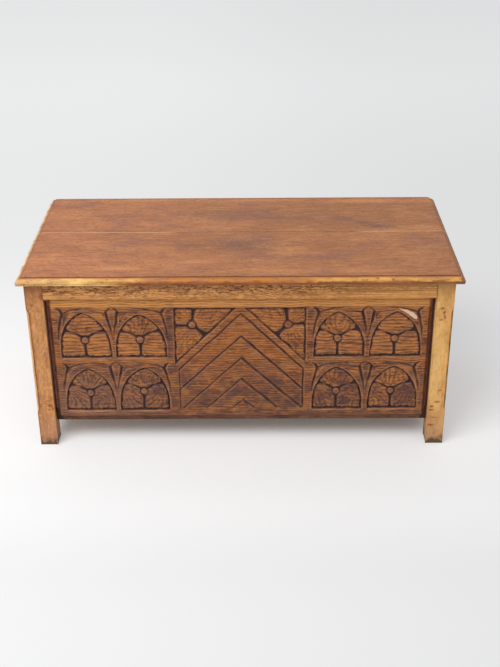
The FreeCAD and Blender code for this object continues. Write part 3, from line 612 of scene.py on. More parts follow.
CHAMFER, CHAMFER_LOW, CHAMFER_HIGH, RUN_OUT = 5, 92, 371, 10
FOOT_WEAR = 70
TENON = 22


def post_cuts(side):
    """Chamfer of a front post's outer arris: it grows over the run-out, stays, and dies out at the other end. The
    right one is bruised, and it is darkened with painted shade because it faces away from the light."""
    outer = 0 if side < 0 else 1

    def cuts(stations, corner):
        share = smooth((stations - CHAMFER_LOW) / RUN_OUT) * smooth((CHAMFER_HIGH - stations) / RUN_OUT)
        share = share * (corner == outer)
        bruises = 1 + (0.16 if side > 0 else 0.05) * waver(stations, 90, 50 + side)
        arris_shade = share * np.clip(0.8 + 0.3 * waver(stations, 70, 60), 0.2, 1) if side > 0 else 0.1 * share
        return CHAMFER * share * bruises + 1.2 * foot_cuts(stations, corner)[0], share * 0.8, arris_shade
    return cuts


def foot_cuts(stations, corner):
    """Arrises a little more worn towards the foot."""
    return np.clip(1 - stations / FOOT_WEAR, 0, 1), 0 * stations, 0 * stations


for side, name, post_oak in ((-1, "left", left_post_oak), (1, "right", right_post_oak)):
    carried(f"front_{name}_post", 2, "frame_oak", post_oak, 1.1, 0.2, 3 + side, 5, post_cuts(side), 1)
    carried(f"back_{name}_post", 2, "frame_oak", end_oak, 0.9, 0.5, 7 + side, chamfers=foot_cuts, end_cut=1)
    carried(f"{name}_top_rail", 1, "frame_oak", end_rail_oak, 0.7, 0.5, 11, tenon=TENON)
    carried(f"{name}_bottom_rail", 1, "frame_oak", end_rail_oak, 0.9, 0.5, 12, tenon=TENON)
for name, timber in (("front_top_rail", rail_oak), ("front_bottom_rail", shaded_low_rail_oak),
                     ("back_top_rail", plain_oak), ("back_bottom_rail", plain_oak)):
    carried(name, 0, "frame_oak", timber, 0.7, 0.5, len(name), tenon=TENON)
carried("back_muntin", 2, "frame_oak", end_oak, 0.6, 0.5, 21, tenon=TENON)
for name in ("left_end_panel", "right_end_panel", "back_left_panel", "back_right_panel"):
    coloured(name, end_oak)
print("frame dressed")

# %% [markdown]
# ## The carved front: tools for carving with numbers
#
# The front is one oak board whose raised field is carved with four pointed arches on each side and a stack of
# chevrons between them. A carving is a height over a plane, so the whole of it can be one function: for each
# point of a fine grid over the field, how deep is the wood cut there? Sculpting by hand would do it too, but it
# couldn't be changed afterwards. Each cut below says how far a point is from a line or an outline, and turns
# that distance into a depth with sloping walls, as a gouge leaves them. The deepest cut at a point wins.

# %% Tools for carving
# How steep a cut's wall is and how deep a pocket goes; how far petals are rounded off and how deep grain lines lie.
WALL, POCKET = 2.4, 5.5
ROUND_OFF, GRAIN_DEPTH = 1.9, 0.9


def outline_distance(x, z, line_x, line_z):
    """How far each point is inside a closed outline, negative outside: the nearest of its straight pieces, with
    the sign from how often a ray to the right crosses the outline."""
    nearest = np.full(x.shape, 1e9)
    inside = np.zeros(x.shape, bool)
    for x0, z0, x1, z1 in zip(line_x, line_z, np.roll(line_x, -1), np.roll(line_z, -1)):
        run_x, run_z = x1 - x0, z1 - z0
        length = max(run_x * run_x + run_z * run_z, 1e-9)
        share = np.clip(((x - x0) * run_x + (z - z0) * run_z) / length, 0, 1)
        nearest = np.minimum(nearest, np.hypot(x - x0 - share * run_x, z - z0 - share * run_z))
        if abs(run_z) > 1e-9:
            inside ^= ((z0 > z) != (z1 > z)) & (x < x0 + (z - z0) * run_x / run_z)
    return np.where(inside, nearest, -nearest)


def both(*distances, blend=3):
    """Inside all of several shapes: the least of the distances, with the corners rounded by blend."""
    least = distances[0]
    for other in distances[1:]:
        share = np.clip(0.5 + 0.5 * (other - least) / blend, 0, 1)
        least = other * (1 - share) + least * share - blend * share * (1 - share)
    return least


def off_segment(x, z, start, end, half_start, half_end):
    """Distance from a stroke that widens evenly from one end to the other, negative inside it."""
    run = np.subtract(end, start)
    share = np.clip(((x - start[0]) * run[0] + (z - start[1]) * run[1]) / (run @ run), 0, 1)
    reach = np.hypot(x - start[0] - share * run[0], z - start[1] - share * run[1])
    return reach - (half_start + (half_end - half_start) * share)


def gouged(x, z, line, slope=1.15, deepest=5):
    """Depth of a V cut along a bent line. line gives places with half a width at each: where the tool was pushed
    in the cut is wide and deep, and where it was let up it is a hair line."""
    least = np.full(x.shape, 99)
    for start, end in zip(line[:-1], line[1:]):
        least = np.minimum(least, off_segment(x, z, start[:2], end[:2], start[2], end[2]))
    return np.clip(-least * slope, 0, deepest)


def straight_cut(x, z, start, end, depth, below=1.6, above=1.6, taper=4):
    """A V cut along a straight line: its two walls may be of different width, above the line and below it."""
    run = np.subtract(end, start)
    length = np.hypot(*run)
    run = run / length
    side = run if run[0] > 0 else -run
    forward = (x - start[0]) * run[0] + (z - start[1]) * run[1]
    off = (z - start[1]) * side[0] - (x - start[0]) * side[1]
    section = np.where(off > 0, 1 - off / above, 1 + off / below)
    ends = smooth((forward + taper) / taper) * smooth((length + taper - forward) / taper)
    return depth * np.clip(section, 0, 1) * ends


def oval(x, z, middle_x, middle_z, half_x, half_z):
    """0 in the middle of an oval and 1 on its rim, growing with the square of the distance."""
    return ((x - middle_x) / half_x) ** 2 + ((z - middle_z) / half_z) ** 2


def left_standing(x, z, inside, petals, bud, tones, lines, number, ease, sunk, dome):
    """Depth of a pocket with petals and a bud left standing in it, then the tone of the petals, their grain lines
    and the bud. inside, petals and bud are distances inside each outline. Petals are rounded off over the length
    ease, the bud's rim lies sunk below the plane and its middle stands higher by dome."""
    held = inside > 0
    crown = 1 + ROUND_OFF * np.clip(1 - petals / ease, 0, 1) ** 2 + 0.5 * (cloud(x, z, 12, number) - 0.5)
    crown = np.minimum(crown + GRAIN_DEPTH * lines + WALL * np.clip(-petals, 0, 9),
                       sunk + WALL * np.clip(-bud, 0, 9) - dome * np.clip(bud / 6, 0, 1))
    return [np.clip(np.minimum(inside * WALL, crown), 0, POCKET), smooth(petals / 1.5) * held * tones,
            lines * held, smooth(bud / 1.5)]


def blurred(values, reach, step):
    """Values over a grid smeared by a bell curve of a given reach, first along one side and then the other."""
    count = int(3 * reach / step) + 1
    offsets = np.arange(-count, count + 1) * step
    bell = np.exp(-0.5 * (offsets / reach) ** 2)
    bell /= bell.sum()
    for axis in (0, 1):
        padded = np.pad(values, [(count, count) if index == axis else (0, 0) for index in (0, 1)], mode="edge")
        size = values.shape[axis]
        values = sum(weight * np.take(padded, np.arange(k, k + size), axis=axis) for k, weight in enumerate(bell))
    return values


print("a V cut 4 mm deep, read across:", straight_cut(np.zeros(5), np.linspace(-2, 2, 5), (-9, 0), (9, 0), 4))

# %% [markdown]
# ## One arch and its flower
#
# Each arch is a pocket with a rounded, pointed head, in which three petals stand round a bud on a stem. The
# carver drew each arch by hand, so no two are alike: the list gives for each its middle, its foot, its point and
# its bud. The half width of an arch falls with height as 60.3 (1 - t^3)^0.75, where t goes from 0 at the foot to 1
# at the point. Petals are what is left when the distances to the arch, the stem and the bud are combined.

# %% Arches
#          middle, foot, place of the point, place of the bud
ARCHES = [(-360.5, 236, -365, 356.5, -362, 283.5), (-231.5, 236, -233.7, 351.5, -233.7, 283.5),
          (231.5, 236.5, 227.3, 356.5, 227.3, 285.5), (362.5, 236.5, 362.3, 355.5, 360, 284),
          (-359.5, 91, -361, 208.5, -359.7, 140), (-229.7, 91, -227.7, 210.5, -231.7, 143),
          (230, 93, 227.3, 210.5, 227.3, 143), (362, 94, 362.3, 213, 357.3, 143.5)]
#       upper petal, left petal, right petal of each arch: golden above 0, soiled below
TONES = [(0.2, 0.65, 0.65), (0.3, 0.65, 0.4), (0.3, 0.3, 0.35), (0.45, 0.5, 0.5), (0.1, 0.1, -0.2),
         (0.05, -0.05, -0.3), (0, -0.25, -0.3), (0.5, 0.25, -0.25)]
#       how far the lines on the upper petal of each arch spread like rays
RAYED = (0.1, 0.8, 0.8, 0.1, 1, 1, 1, 1)
ARCH_HALF, BUD = 60.3, 7.4


def arch_outline(arch):
    """Outline of an arch: up its right side to the point and down its left."""
    middle, foot, point_x, point_z = arch[:4]
    t = np.linspace(0, 1, 44) ** 0.6
    half = ARCH_HALF * (1 - t ** 3) ** 0.75
    lean = (point_x - middle) * t ** 2
    height = foot + (point_z - foot) * t
    return (np.concatenate([middle + lean + half, (middle + lean - half)[-2::-1]]),
            np.concatenate([height, height[-2::-1]]))


def grain_lines(x, z, pitch, number):
    """Dark lines of open grain lying level, about one pitch apart: a wave in height whose phase wanders and whose
    strength comes and goes along each line."""
    wander = 0.9 * (cloud(x * 0.35, z * 0.8, 14, number) - 0.5) + 0.6 * cloud(x, z, 55, number + 1)
    wave = 0.5 + 0.5 * np.cos(2 * math.pi * (z / pitch + wander))
    breaks = 0.25 + 0.6 * cloud(x / 4.5, z, 5.5, number + 2) + 0.5 * cloud(x / 2.5, z, 3, number + 3)
    return np.clip(wave ** 3.5 * (1.10 * breaks - 0.1), 0, 1)


def ray_lines(x, z, at_x, at_z, count, number):
    """Lines that leave a point like the ribs of a shell, bent a little by chance, with short strokes between."""
    angle = np.arctan2(z - at_z, x - at_x) + 0.22 * (cloud(x, z, 17, number) - 0.5)
    ribs = (0.5 + 0.5 * np.cos(angle * count)) ** 2.5 * (0.25 + cloud(x, z, 9, number + 1))
    return np.clip(np.maximum(ribs, smooth((cloud(x, z, 4.6, number + 2) - 0.55) / 0.3) * 0.8), 0, 1)


def arch_flower(x, z, arch, number):
    """Depth of an arch's pocket with its flower left standing in it, the tone of each point of the petals, the
    dark grain lines on them and the bud."""
    middle, foot, point_x, point_z, bud_x, bud_z = arch
    inside = outline_distance(x, z, *arch_outline(arch))
    across, up = np.abs(x - bud_x), z - foot
    nibble = 3.4 * (cloud(x, z, 5.5, 100 + number) - 0.5) + 1.8 * (cloud(x, z, 15, 120 + number) - 0.5)
    bud = BUD - np.hypot(x - bud_x, z - bud_z)
    seam = bud_z + 11.4 + 14 * (1 - np.exp(-np.clip(across - 8, 0, 50) / 18))
    seam = seam + 4 * np.clip((across - 26) / 14, 0, 2) ** 2
    top = both(inside - 3.7 + nibble, (z - seam) * 0.9, 43 - across + 0.5 * nibble, -bud - 1.8, blend=5)
    shoulder = bud_z + 7.6 + 12.2 * smooth((across - 6) / 26)
    stem = 2.3 + 3.4 * np.clip(1 - up / 14, 0, 1) ** 2 + 2.2 * np.clip(1 - (bud_z - z - 6) / 22, 0, 1) ** 2
    scallop = 0.9 * np.sin(x * 0.62 + 3 * cloud(x, z, 31, 170 + number))
    low = both(inside - 4.3 + 1.2 * nibble, across - stem, up - 4.2 + 0.6 * nibble + scallop,
               (shoulder - z) * 0.95, -bud - 2.4, blend=6)
    petals = np.maximum(top, low)
    rays = np.where(top > low, ray_lines(x, z, bud_x, bud_z, 23, 160 + number),
                    ray_lines(x, z, bud_x + np.sign(x - bud_x) * 52, foot + 62, 25, 160 + number))
    level = grain_lines(x, z, 8.6, 180 + number)
    upper_row = foot > 150
    rayed = np.where(top > low, RAYED[number], 0 if upper_row else 1)
    lines = (level * (1 - 0.6 * rayed) + 0.9 * rays * rayed) * smooth(petals / 2.5) * (1 if upper_row else 0.85)
    upper, left, right_hand = TONES[number]
    tones = np.where(top > low, upper, np.where(x < bud_x, left, right_hand))
    return left_standing(x, z, inside, petals, bud, tones, lines, 140 + number, ease=4.5, sunk=1.7, dome=1.3)


print("arches:", len(ARCHES))

# %% [markdown]
# ## Kites between the arches
#
# Where the heads of two arches lean apart, a kite-shaped leaf fills the space, with a deep cut down each flank
# and a little ground cleared beside its shoulders. At the ends of a row only half a kite is cut, the other half
# running into the plain margin. The ground's depth grows with the distance from its edges, so where the space
# closes to nothing above the point of an arch the cut dies away in a fine line, as it does under a V tool.

# %% Kites
KITE_PITCH = 130
#          out from the middle, up from the arches' foot, half the width of the cut
HEAD = [(15.5, 117, 4.2), (10, 124, 3.2), (0, 131.5, 2.2)]
FLANK = [(14, 117, 5.4), (9.8, 97, 4.4), (4.6, 74, 3.2), (0.5, 46, 1.6)]
LEVEL_ROOF = [(16, 116.5, 3.4), (34, 118, 2.4), (60, 120.5, 1.4)]
HALF_HEAD = [(15.5, 115, 5.2), (12, 123, 4.4), (4, 129, 2.4)]
HALF_FLANK = [(16.5, 114, 5), (11.5, 100, 4), (5.5, 74, 3.4), (2.5, 50, 1.8)]
RISING_ROOF = [(15, 114.5, 4), (31, 121, 3.2), (55, 127, 2.4), (90, 131, 1.4)]


def kite(x, z, middle, foot, flanks, clearing):
    """Depth of the cuts round one kite. flanks says on which sides of its middle it is cut: a whole kite has both.
    clearing is how far the sunk ground beside its right shoulder reaches."""
    rise = z - foot
    cuts = [np.zeros_like(x)]
    for side in flanks:
        out = side * (x - middle)
        for line in (HEAD, FLANK, LEVEL_ROOF) if len(flanks) == 2 else (HALF_HEAD, HALF_FLANK, RISING_ROOF):
            cuts.append(gouged(out, rise, line) * (np.abs(out) < 90))
        reach = clearing if side > 0 else 0.5 * clearing
        if reach > 4:
            ground = outline_distance(out, rise, np.array([14, 15 + reach, 17]),
                                      np.array([117, 118, 117 - 1.3 * reach]))
            cuts.append(np.clip(ground * 1.5, 0, 2.8))
    return np.maximum.reduce(cuts)


print("kites per row and side: 1 whole and 2 halves")

# %% [markdown]
# ## The middle of the panel
#
# Five chevrons are cut under a plain hood, and the two corners above it hold three petals and a round bud. The
# carver leaned the tool over on the right arms, so their outer walls are broad, and they carry more dirt and
# painted shade.

# %% Chevrons and corner flowers
#            top x  top z   left end       right end      wall left, right, depth left, right
CHEVRONS = [(2.3, 351, (-145, 203.5), (147, 206.5), 3.4, 4, 3.7, 4.4),
            (2.3, 292, (-145, 149), (148.5, 148), 3.6, 5, 3.7, 4.4),
            (1.3, 233.5, (-137.5, 98), (144.5, 97), 3.6, 7.5, 3.7, 4.4),
            (1.3, 177, (-80.5, 98), (86, 98), 4.2, 8.8, 3.2, 4.4),
            (6, 121, (-19.5, 98), (33, 98), 3, 2.8, 3, 4.4)]
SCOOPS = [(2, 89, 27, 8.5), (-72, 91, 26, 6), (-126, 87, 25, 6.5), (60, 90, 20, 4)]
SCOOP_DEPTH = 1.8


CORNER_OUTER, CORNER_TOP, CORNER_BUD, CORNER_TONE = 154, 367.5, 7.8, 0.5
#           side, inner corner, lowest corner, bud, strokes: end, half width at the bud and at the end
CORNERS = [(-1, 5.5, 215.5, (110.7, 322),
            [((105.7, 369), 1.2, 4.2), ((156, 318.5), 1, 4.2), ((79, 295), 1.4, 6.6)]),
           (1, 9, 222, (112.3, 322), [((106.5, 369), 1.5, 4.4), ((156, 326), 1.2, 4), ((81, 293), 1.6, 7)])]


def chevrons(x, z):
    """Depth of the chevron cuts, of the cuts that close them at the sides, and of the scoops at their foot."""
    cuts = [np.zeros_like(x)]
    for top_x, top_z, left, right_end, wall_left, wall_right, depth_left, depth_right in CHEVRONS:
        top = (top_x, top_z)
        below = 7.5 if top_z < 130 else 2.5
        cuts += [straight_cut(x, z, left, top, depth_left, 2.4, wall_left, 3),
                 straight_cut(x, z, top, right_end, depth_right, below, wall_right, 3)]
    cuts += [straight_cut(x, z, (-144.7, 203), (-144.7, 100), 3, 2.2, 2.2),
             straight_cut(x, z, (148.3, 206), (148.3, 99), 4, 2.2, 4)]
    cuts += [SCOOP_DEPTH * np.clip(1 - oval(x, z, *scoop), 0, 1) ** 0.7 for scoop in SCOOPS]
    return np.maximum.reduce(cuts)


def corner_flower(x, z, side, inner, low, bud, strokes, number):
    """The same four maps as for an arch, for a corner triangle. Distances are measured outwards from the middle, so
    that one recipe serves both corners. strokes are the cuts between the petals, from the bud outwards."""
    u, outer, top = side * x, CORNER_OUTER, CORNER_TOP
    run = np.array([outer - inner, low - top])
    slope = ((u - inner) * -run[1] + (z - top) * run[0]) / np.hypot(*run)
    inside = both(outer - u, top - z, slope, blend=0.5)
    from_bud = np.hypot(u - bud[0], z - bud[1])
    nibble = 2.8 * (cloud(x, z, 6, number) - 0.5) + 1.7 * (cloud(x, z, 16, 20 + number) - 0.5)
    strokes_off = [off_segment(u, z, bud, *stroke) for stroke in strokes]
    petals = both(inside - 3.6 + nibble, from_bud - 10.8, *strokes_off, blend=8)
    lines = 0.7 * grain_lines(x, z, 7, 60 + number) + 0.5 * ray_lines(x, z, side * bud[0], bud[1], 25, 80 + number)
    lines = lines * smooth(petals / 2.5)
    return left_standing(x, z, inside, petals, CORNER_BUD - from_bud, CORNER_TONE, lines, 40 + number, ease=5,
                         sunk=1.6, dome=1)


print("chevrons:", len(CHEVRONS))

# %% [markdown]
# ## Putting the carving together
#
# All the cuts are worked out on one grid with about a millimetre between its points. Two further numbers come from
# the same heights: where the wood lies lower than its blurred self it is a hollow that holds dirt and is given
# painted shade, as are all the deeper cuts, and where it lies higher it is an edge that hands have rubbed. The
# field is then made as three closed pieces that meet on the plain margins at X = -160 and 160, so that each stays
# small enough to handle, in front of the board whose edges stand in the grooves of the posts and the rail.

# %% Carved field
FIELD_LEFT, FIELD_RIGHT, FIELD_LOW, FIELD_HIGH = -436, 436, 77, 393
FIELD_Y, BOARD_Y = -222, -211
SEAM = 160
# Where the plain strip under the rail ends and how far the carving lies behind it; how round the field's rim is and
# how far dirt and painted shade spread.
STRIP_FOOT, STRIP_STEP = 369, 0.7
RIM_ROUND, DIRT_AND_SHADE_REACH = 2.2, 3.2
#         x, z, half sizes along them, share of gold
BRIGHT = [(-324, 342, 14, 14, 0.9), (-297, 262, 9, 30, 0.5), (-428, 240, 12, 90, 0.25), (428, 300, 12, 60, 0.3),
          (-156, 295, 7, 70, -0.5), (271, 346, 12, 9, 1.2), (272, 200, 10, 9, 1.1), (388, 206, 18, 12, 0.9),
          (-110, 345, 30, 20, 0.3), (120, 268, 20, 20, 0.3)]

line_x = np.linspace(FIELD_LEFT, FIELD_RIGHT, int(FIELD_RIGHT - FIELD_LEFT) + 1)
line_z = np.linspace(FIELD_LOW, FIELD_HIGH, 304)
step_z = line_z[1] - line_z[0]
field_x, field_z = np.meshgrid(line_x, line_z, indexing="ij")
wobble_x = field_x + 1.6 * (cloud(field_x, field_z, 27, 1) - 0.5) + 0.9 * (cloud(field_x, field_z, 9, 11) - 0.5)
wobble_z = field_z + 1.6 * (cloud(field_x, field_z, 24, 2) - 0.5) + 0.9 * (cloud(field_x, field_z, 8, 12) - 0.5)

depth = chevrons(wobble_x, wobble_z)
gold, lines, buds = np.zeros_like(depth), np.zeros_like(depth), np.zeros_like(depth)
flowers = [arch_flower(wobble_x, wobble_z, arch, number) for number, arch in enumerate(ARCHES)]
for side, *corner in CORNERS:
    maps = corner_flower(wobble_x, wobble_z, side, *corner, 210 + side)
    flowers.append([values * (side * field_x > 0) for values in maps])
for cut, tone, lined, bud in flowers:
    depth, gold = np.maximum(depth, cut), gold + tone
    lines, buds = np.maximum(lines, lined), np.maximum(buds, bud)
KITES = ((0, 238, 22), (2, 238, 14), (4, 93.5, 14), (6, 93.5, 14))
for first, foot, clearing in KITES:
    middle = (ARCHES[first][0] + ARCHES[first + 1][0]) / 2
    for offset, flanks in ((-KITE_PITCH, (1,)), (0, (-1, 1)), (KITE_PITCH, (-1,))):
        depth = np.maximum(depth, kite(wobble_x, wobble_z, middle + offset, foot, flanks, clearing))

depth = blurred(depth, 0.5, step_z)
in_cut = smooth(depth / 1.2)
on_bar = smooth((field_z - 222) / 3) * smooth((237 - field_z) / 3) * (np.abs(field_x) > 165)
on_chevrons = smooth((field_z - 150) / 120) * (np.abs(field_x) < 152)
on_crown = smooth((field_z - 338) / 10) * (np.abs(field_x) > 168)
for *patch, share in BRIGHT:
    gold = gold + share * (1 - in_cut) * np.exp(-oval(field_x, field_z, *patch))
gold = gold + (1 - in_cut) * (0.55 * on_bar + 0.40 * on_chevrons + 0.5 * on_crown)
fine_lines = 0.7 * grain_lines(field_x, field_z, 3.7, 235)
plain_lines = np.maximum(grain_lines(field_x, field_z, 6.4, 230), fine_lines) * (1 - in_cut)
lines = np.maximum(lines, plain_lines * np.where(field_z > STRIP_FOOT - 1, 0.8, 1 + 0.05 * (np.abs(field_x) < 152)))
tool_marks = 0.5 * (cloud(field_x, field_z * 2.2, 30, 3) - 0.5) + 0.35 * (cloud(field_x, field_z, 9, 4) - 0.5)
step_down = STRIP_STEP * smooth((STRIP_FOOT - field_z) / 2.5)
rim = np.minimum(np.minimum(field_x - FIELD_LEFT, FIELD_RIGHT - field_x), field_z - FIELD_LOW)
rim = np.clip(rim + 0.8 * (cloud(field_x, field_z, 19, 5) - 0.5), 0, RIM_ROUND)
rim_drop = RIM_ROUND - np.sqrt(RIM_ROUND ** 2 - (RIM_ROUND - rim) ** 2)
depth = depth + tool_marks + step_down + rim_drop + 0.25 * plain_lines
cavity = depth - blurred(depth, DIRT_AND_SHADE_REACH, step_z)
# Dirt where the wood lies below its blurred self, and painted shade that grows with the depth of a cut.
hollow = np.maximum(np.clip(cavity / 2.3 - 0.06, 0, 0.85), 0.8 * smooth((depth - 3.1) / 2.2))
hollow = blurred(hollow, 0.8, step_z) * (0.72 + 0.5 * cloud(field_x, field_z, 8, 236))
edge = np.clip(-cavity / 1.6 - 0.15, 0, 1)
print("deepest cut", round(float(depth.max()), 2), "mm; share of the field cut away",
      round(float((depth > 1.8).mean()), 2))

# %% [markdown]
# ## Where the dirt and the painted shade went
#
# Stain and smoke don't stop at the edge of a cut. They spread a few millimetres on to the wood beside it, thickly
# in some places and hardly at all in others, and the shade beside a cut is painted into the same map; the broad
# walls of the lower chevrons have caught the most of both. The spread is the map of hollows blurred and multiplied
# by chance, with a few soft patches listed.

# %% Soil on the carving
# Soft patches of dirt and painted shade, on the chevrons, beside the kites and along the grooves.
#          x, z, half sizes along them, strength
SMUDGES_AND_SHADE = [(-128, 182, 20, 26, 0.55), (-128, 118, 18, 16, 0.5), (-52, 168, 20, 14, 0.35),
           (72, 176, 22, 17, 0.8), (48, 143, 20, 17, 0.8), (136, 118, 18, 16, 0.85), (16, 112, 14, 9, 0.8),
           (-176, 354, 18, 12, 0.7), (-282, 346, 11, 14, 0.6), (-412, 352, 12, 16, 0.55),
           (414, 356, 12, 9, 0.45), (-409, 207, 12, 10, 0.7), (178, 352, 14, 12, 0.45), (128, 268, 16, 20, 0.4),
           (-120, 322, 14, 12, 0.3), (-280, 208, 9, 10, 0.6), (-180, 208, 12, 10, 0.4), (0, 84, 420, 9, 0.3),
           (180, 222, 15, 8, 0.5), (-405, 225, 26, 7, 0.45), (-296, 332, 9, 26, 0.5), (-295, 188, 9, 26, 0.6),
           (297, 334, 9, 28, 0.5), (296, 190, 9, 28, 0.6), (-170, 290, 10, 75, 0.85), (2, 146, 32, 16, 0.5),
           (-90, 128, 32, 24, 0.6), (100, 118, 26, 18, 0.35), (-172, 150, 9, 60, 0.4), (172, 150, 9, 60, 0.3)]

#         corners of the patch rubbed bare, along X and up Z
BARE_X = np.array([366, 386, 400, 408, 408, 401, 387])
BARE_Z = np.array([363, 359, 352, 342, 336, 337.5, 350])

# Soil and painted shade spread from the hollows on to the wood beside them.
spread = blurred(hollow, DIRT_AND_SHADE_REACH, step_z) * 3 * (0.30 + 1.2 * cloud(field_x, field_z, 15, 240))
soil_and_shade = np.clip(spread, 0, 1)
for middle_x, middle_z, half_x, half_z, strength in SMUDGES_AND_SHADE:
    reach = np.hypot((wobble_x - middle_x) / half_x, (wobble_z - middle_z) / half_z)
    soil_and_shade = np.maximum(soil_and_shade, strength * smooth(1.35 - reach) * (0.6 + 0.6 * cloud(field_x, field_z, 11, 250)))
dull = np.clip(-gold, 0, 1) * (0.6 + 0.8 * cloud(field_x, field_z, 13, 260))
soil_and_shade = np.clip(np.maximum(soil_and_shade, 0.55 * buds) + dull, 0, 1)
bare = smooth(outline_distance(wobble_x, wobble_z, BARE_X, BARE_Z) / 2.5 + 0.5)
print("share of the field soiled", round(float((soil_and_shade > 0.3).mean()), 2))

# %% [markdown]
# ## Blocks of the carved front
#
# The field becomes three closed blocks, each a carved face with walls and a flat back. The maps of dirt and painted
# shade, gold, grain lines and rubbed edges go along as numbers at the vertices, and the timber's recipe reads them.

# %% Blocks of the carved front
BEVEL = 6.5
# Soil and painted shade on the walls of the blocks, whose bevelled sides lie in the recess beside the posts.
SOIL_AND_SHADE_ON_WALLS = 0.25


def carved_block(name, start, stop):
    """A closed block of the field between two of its upright lines: the carved face, walls and a flat back."""
    x, z = field_x[start:stop + 1], field_z[start:stop + 1]
    front = np.stack([x, FIELD_Y + depth[start:stop + 1], z], -1).reshape(-1, 3)
    rows, columns = x.shape
    index = np.arange(rows * columns).reshape(rows, columns)
    loop = np.concatenate([index[0, :-1], index[:-1, -1], index[-1, :0:-1], index[:0:-1, 0]])
    back = front[loop].copy()
    back[:, 1] = BOARD_Y
    back[:, 0] += BEVEL * ((back[:, 0] > FIELD_RIGHT - 0.1).astype(float) - (back[:, 0] < FIELD_LEFT + 0.1))
    behind = len(front) + np.arange(len(loop))
    walls = np.stack([loop, np.roll(loop, -1), np.roll(behind, -1), behind], -1)
    face = quads_between(rows, columns)
    maps = {"hollow": hollow, "edge": edge, "gold": np.clip(gold, 0, 1), "lines": lines, "soil_and_shade": soil_and_shade, "bare": bare}
    for number, values in maps.items():
        at_back = np.full(len(loop), SOIL_AND_SHADE_ON_WALLS if number == "soil_and_shade" else 0)
        maps[number] = np.concatenate([values[start:stop + 1].ravel(), at_back])
    make_piece(name, np.concatenate([front, back]), [face[:, ::-1], walls, behind[None]], "carcase", "carved_oak",
               carved_oak, ("carved_front_panel",), sharp=80, **maps)


def carved_colours(recipe, colour):
    """Golden on the plain strip under the rail and on the petals, browner and duller towards the foot, with dark
    grain lines, and over that soil and painted shade round the cuts."""
    x, z = recipe.place("X"), recipe.place("Z")
    colour = recipe.mix(recipe.ramp(z, 0.07, 0.30, 0.6, 0), colour, (120, 74, 52))
    for shift, paint in ((31, (184, 108, 52)), (47, (100, 66, 58))):
        hue = recipe.noise((22, 22, 52), 3, 0.6, 0.3, (shift,) * 3)
        colour = recipe.mix(recipe.ramp(hue, 0.50, 0.66, 0, 0.65), colour, paint)
    low = recipe.ramp(z, 0.235, 0.195)
    for shift, paint in ((53, (172, 116, 58)), (59, (96, 68, 66))):
        clouded = recipe.noise((27, 27, 36), 2, 0.5, 0, (shift,) * 3)
        colour = recipe.mix(recipe.times(recipe.ramp(clouded, 0.50, 0.64, 0, 0.6), low), colour, paint)
    dusty = recipe.times(recipe.ramp(x, -0.15, -0.30, 0, 0.35), recipe.ramp(z, 0.25, 0.12))
    warm = recipe.times(recipe.ramp(recipe.math("ABSOLUTE", x), 0.152, 0.146, 0, 0.16), recipe.ramp(z, 0.15, 0.26))
    patch = recipe.ramp(recipe.noise((14, 14, 30), 3), 0.35, 0.65, 0.45, 1)
    return recipe.lay(colour, (dusty, (146, 108, 92)), (warm, (190, 100, 30)),
                      (recipe.times(recipe.attribute("gold"), patch), (196, 128, 64)),
                      (recipe.ramp(z, 0.366, 0.374, 0, 0.7), (222, 154, 82)),
                      (recipe.times(recipe.attribute("lines"), 0.95), (72, 38, 22)),
                      # Soil and painted shade round the cuts.
                      (recipe.times(recipe.attribute("soil_and_shade"), 0.85), (76, 50, 50)),
                      (recipe.times(recipe.attribute("bare"), 0.85), (226, 196, 166)))


carved_oak = oak("carved_oak", 0, (184, 117, 69), (125, 74, 45), (66, 36, 24), 5, 0.2, 0.35, 0.5, pores=0.7,
                 coarse=0.4, grit=0.8, gloss=0.22, worn=(186, 132, 90), shade_and_grime=(48, 29, 25), tint=carved_colours)
left_seam, right_seam = int(-SEAM - FIELD_LEFT), int(SEAM - FIELD_LEFT)
carved_block("carved_left_arches", 0, left_seam)
carved_block("carved_chevrons", left_seam, right_seam)
carved_block("carved_right_arches", right_seam, len(line_x) - 1)

# %% [markdown]
# ## The board behind the field
#
# The field stands up from a thinner board, whose edges run into the grooves. Its narrow margins lie deep between
# the field and the posts, and look nearly black from a few steps away; beside the posts they are painted black as
# painted shade.

# %% Board behind the field
BOARD_FOOT = 95
low, high = millimetres("carved_front_panel")
corner_x = np.array([low[0], high[0], high[0], low[0]])
corner_z = np.array([BOARD_FOOT, BOARD_FOOT, high[2], high[2]])
board_points = [np.stack([corner_x, np.full(4, y), corner_z], -1) for y in (BOARD_Y, high[1])]


def margin_painted_shade(recipe, colour):
    """The bottom of the gap beside a post, painted black as shade where it turns into the groove, more of it on the
    right.
    """
    x = recipe.place("X")
    black = recipe.math("MAXIMUM", recipe.ramp(x, -0.4450, -0.4475, 0, 0.85),
                        recipe.ramp(x, 0.4415, 0.4445, 0, 0.85))
    return recipe.mix(black, colour, (36, 22, 24))


margin_oak = oak("margin_oak", 0, (150, 94, 84), (118, 72, 68), (44, 26, 26), 6, tint=margin_painted_shade)
make_piece("carved_board", np.concatenate(board_points),
           [quads_between(2, 4, wrap=True)[:, ::-1], np.array([[0, 1, 2, 3], [7, 6, 5, 4]])],
           "carcase", "carved_oak", margin_oak, ("carved_front_panel",), hollow=np.zeros(8), edge=np.zeros(8))

# %% [markdown]
# ## Lid
#
# Two wide boards, edge jointed, make the lid. A quarter round moulding with a small quirk above it and a narrow
# fillet below it runs round the front and both ends, and meets in mitres at the corners. Each board is a stack
# of loops: a loop is the board's outline at one height of the moulding, drawn in from the full size by what the
# moulding takes away there. The front of a loop is drawn in along Y and its ends along X by the same amount, so
# the mitre comes by itself. A profile swept along the edge would need its corners cut and joined afterwards.

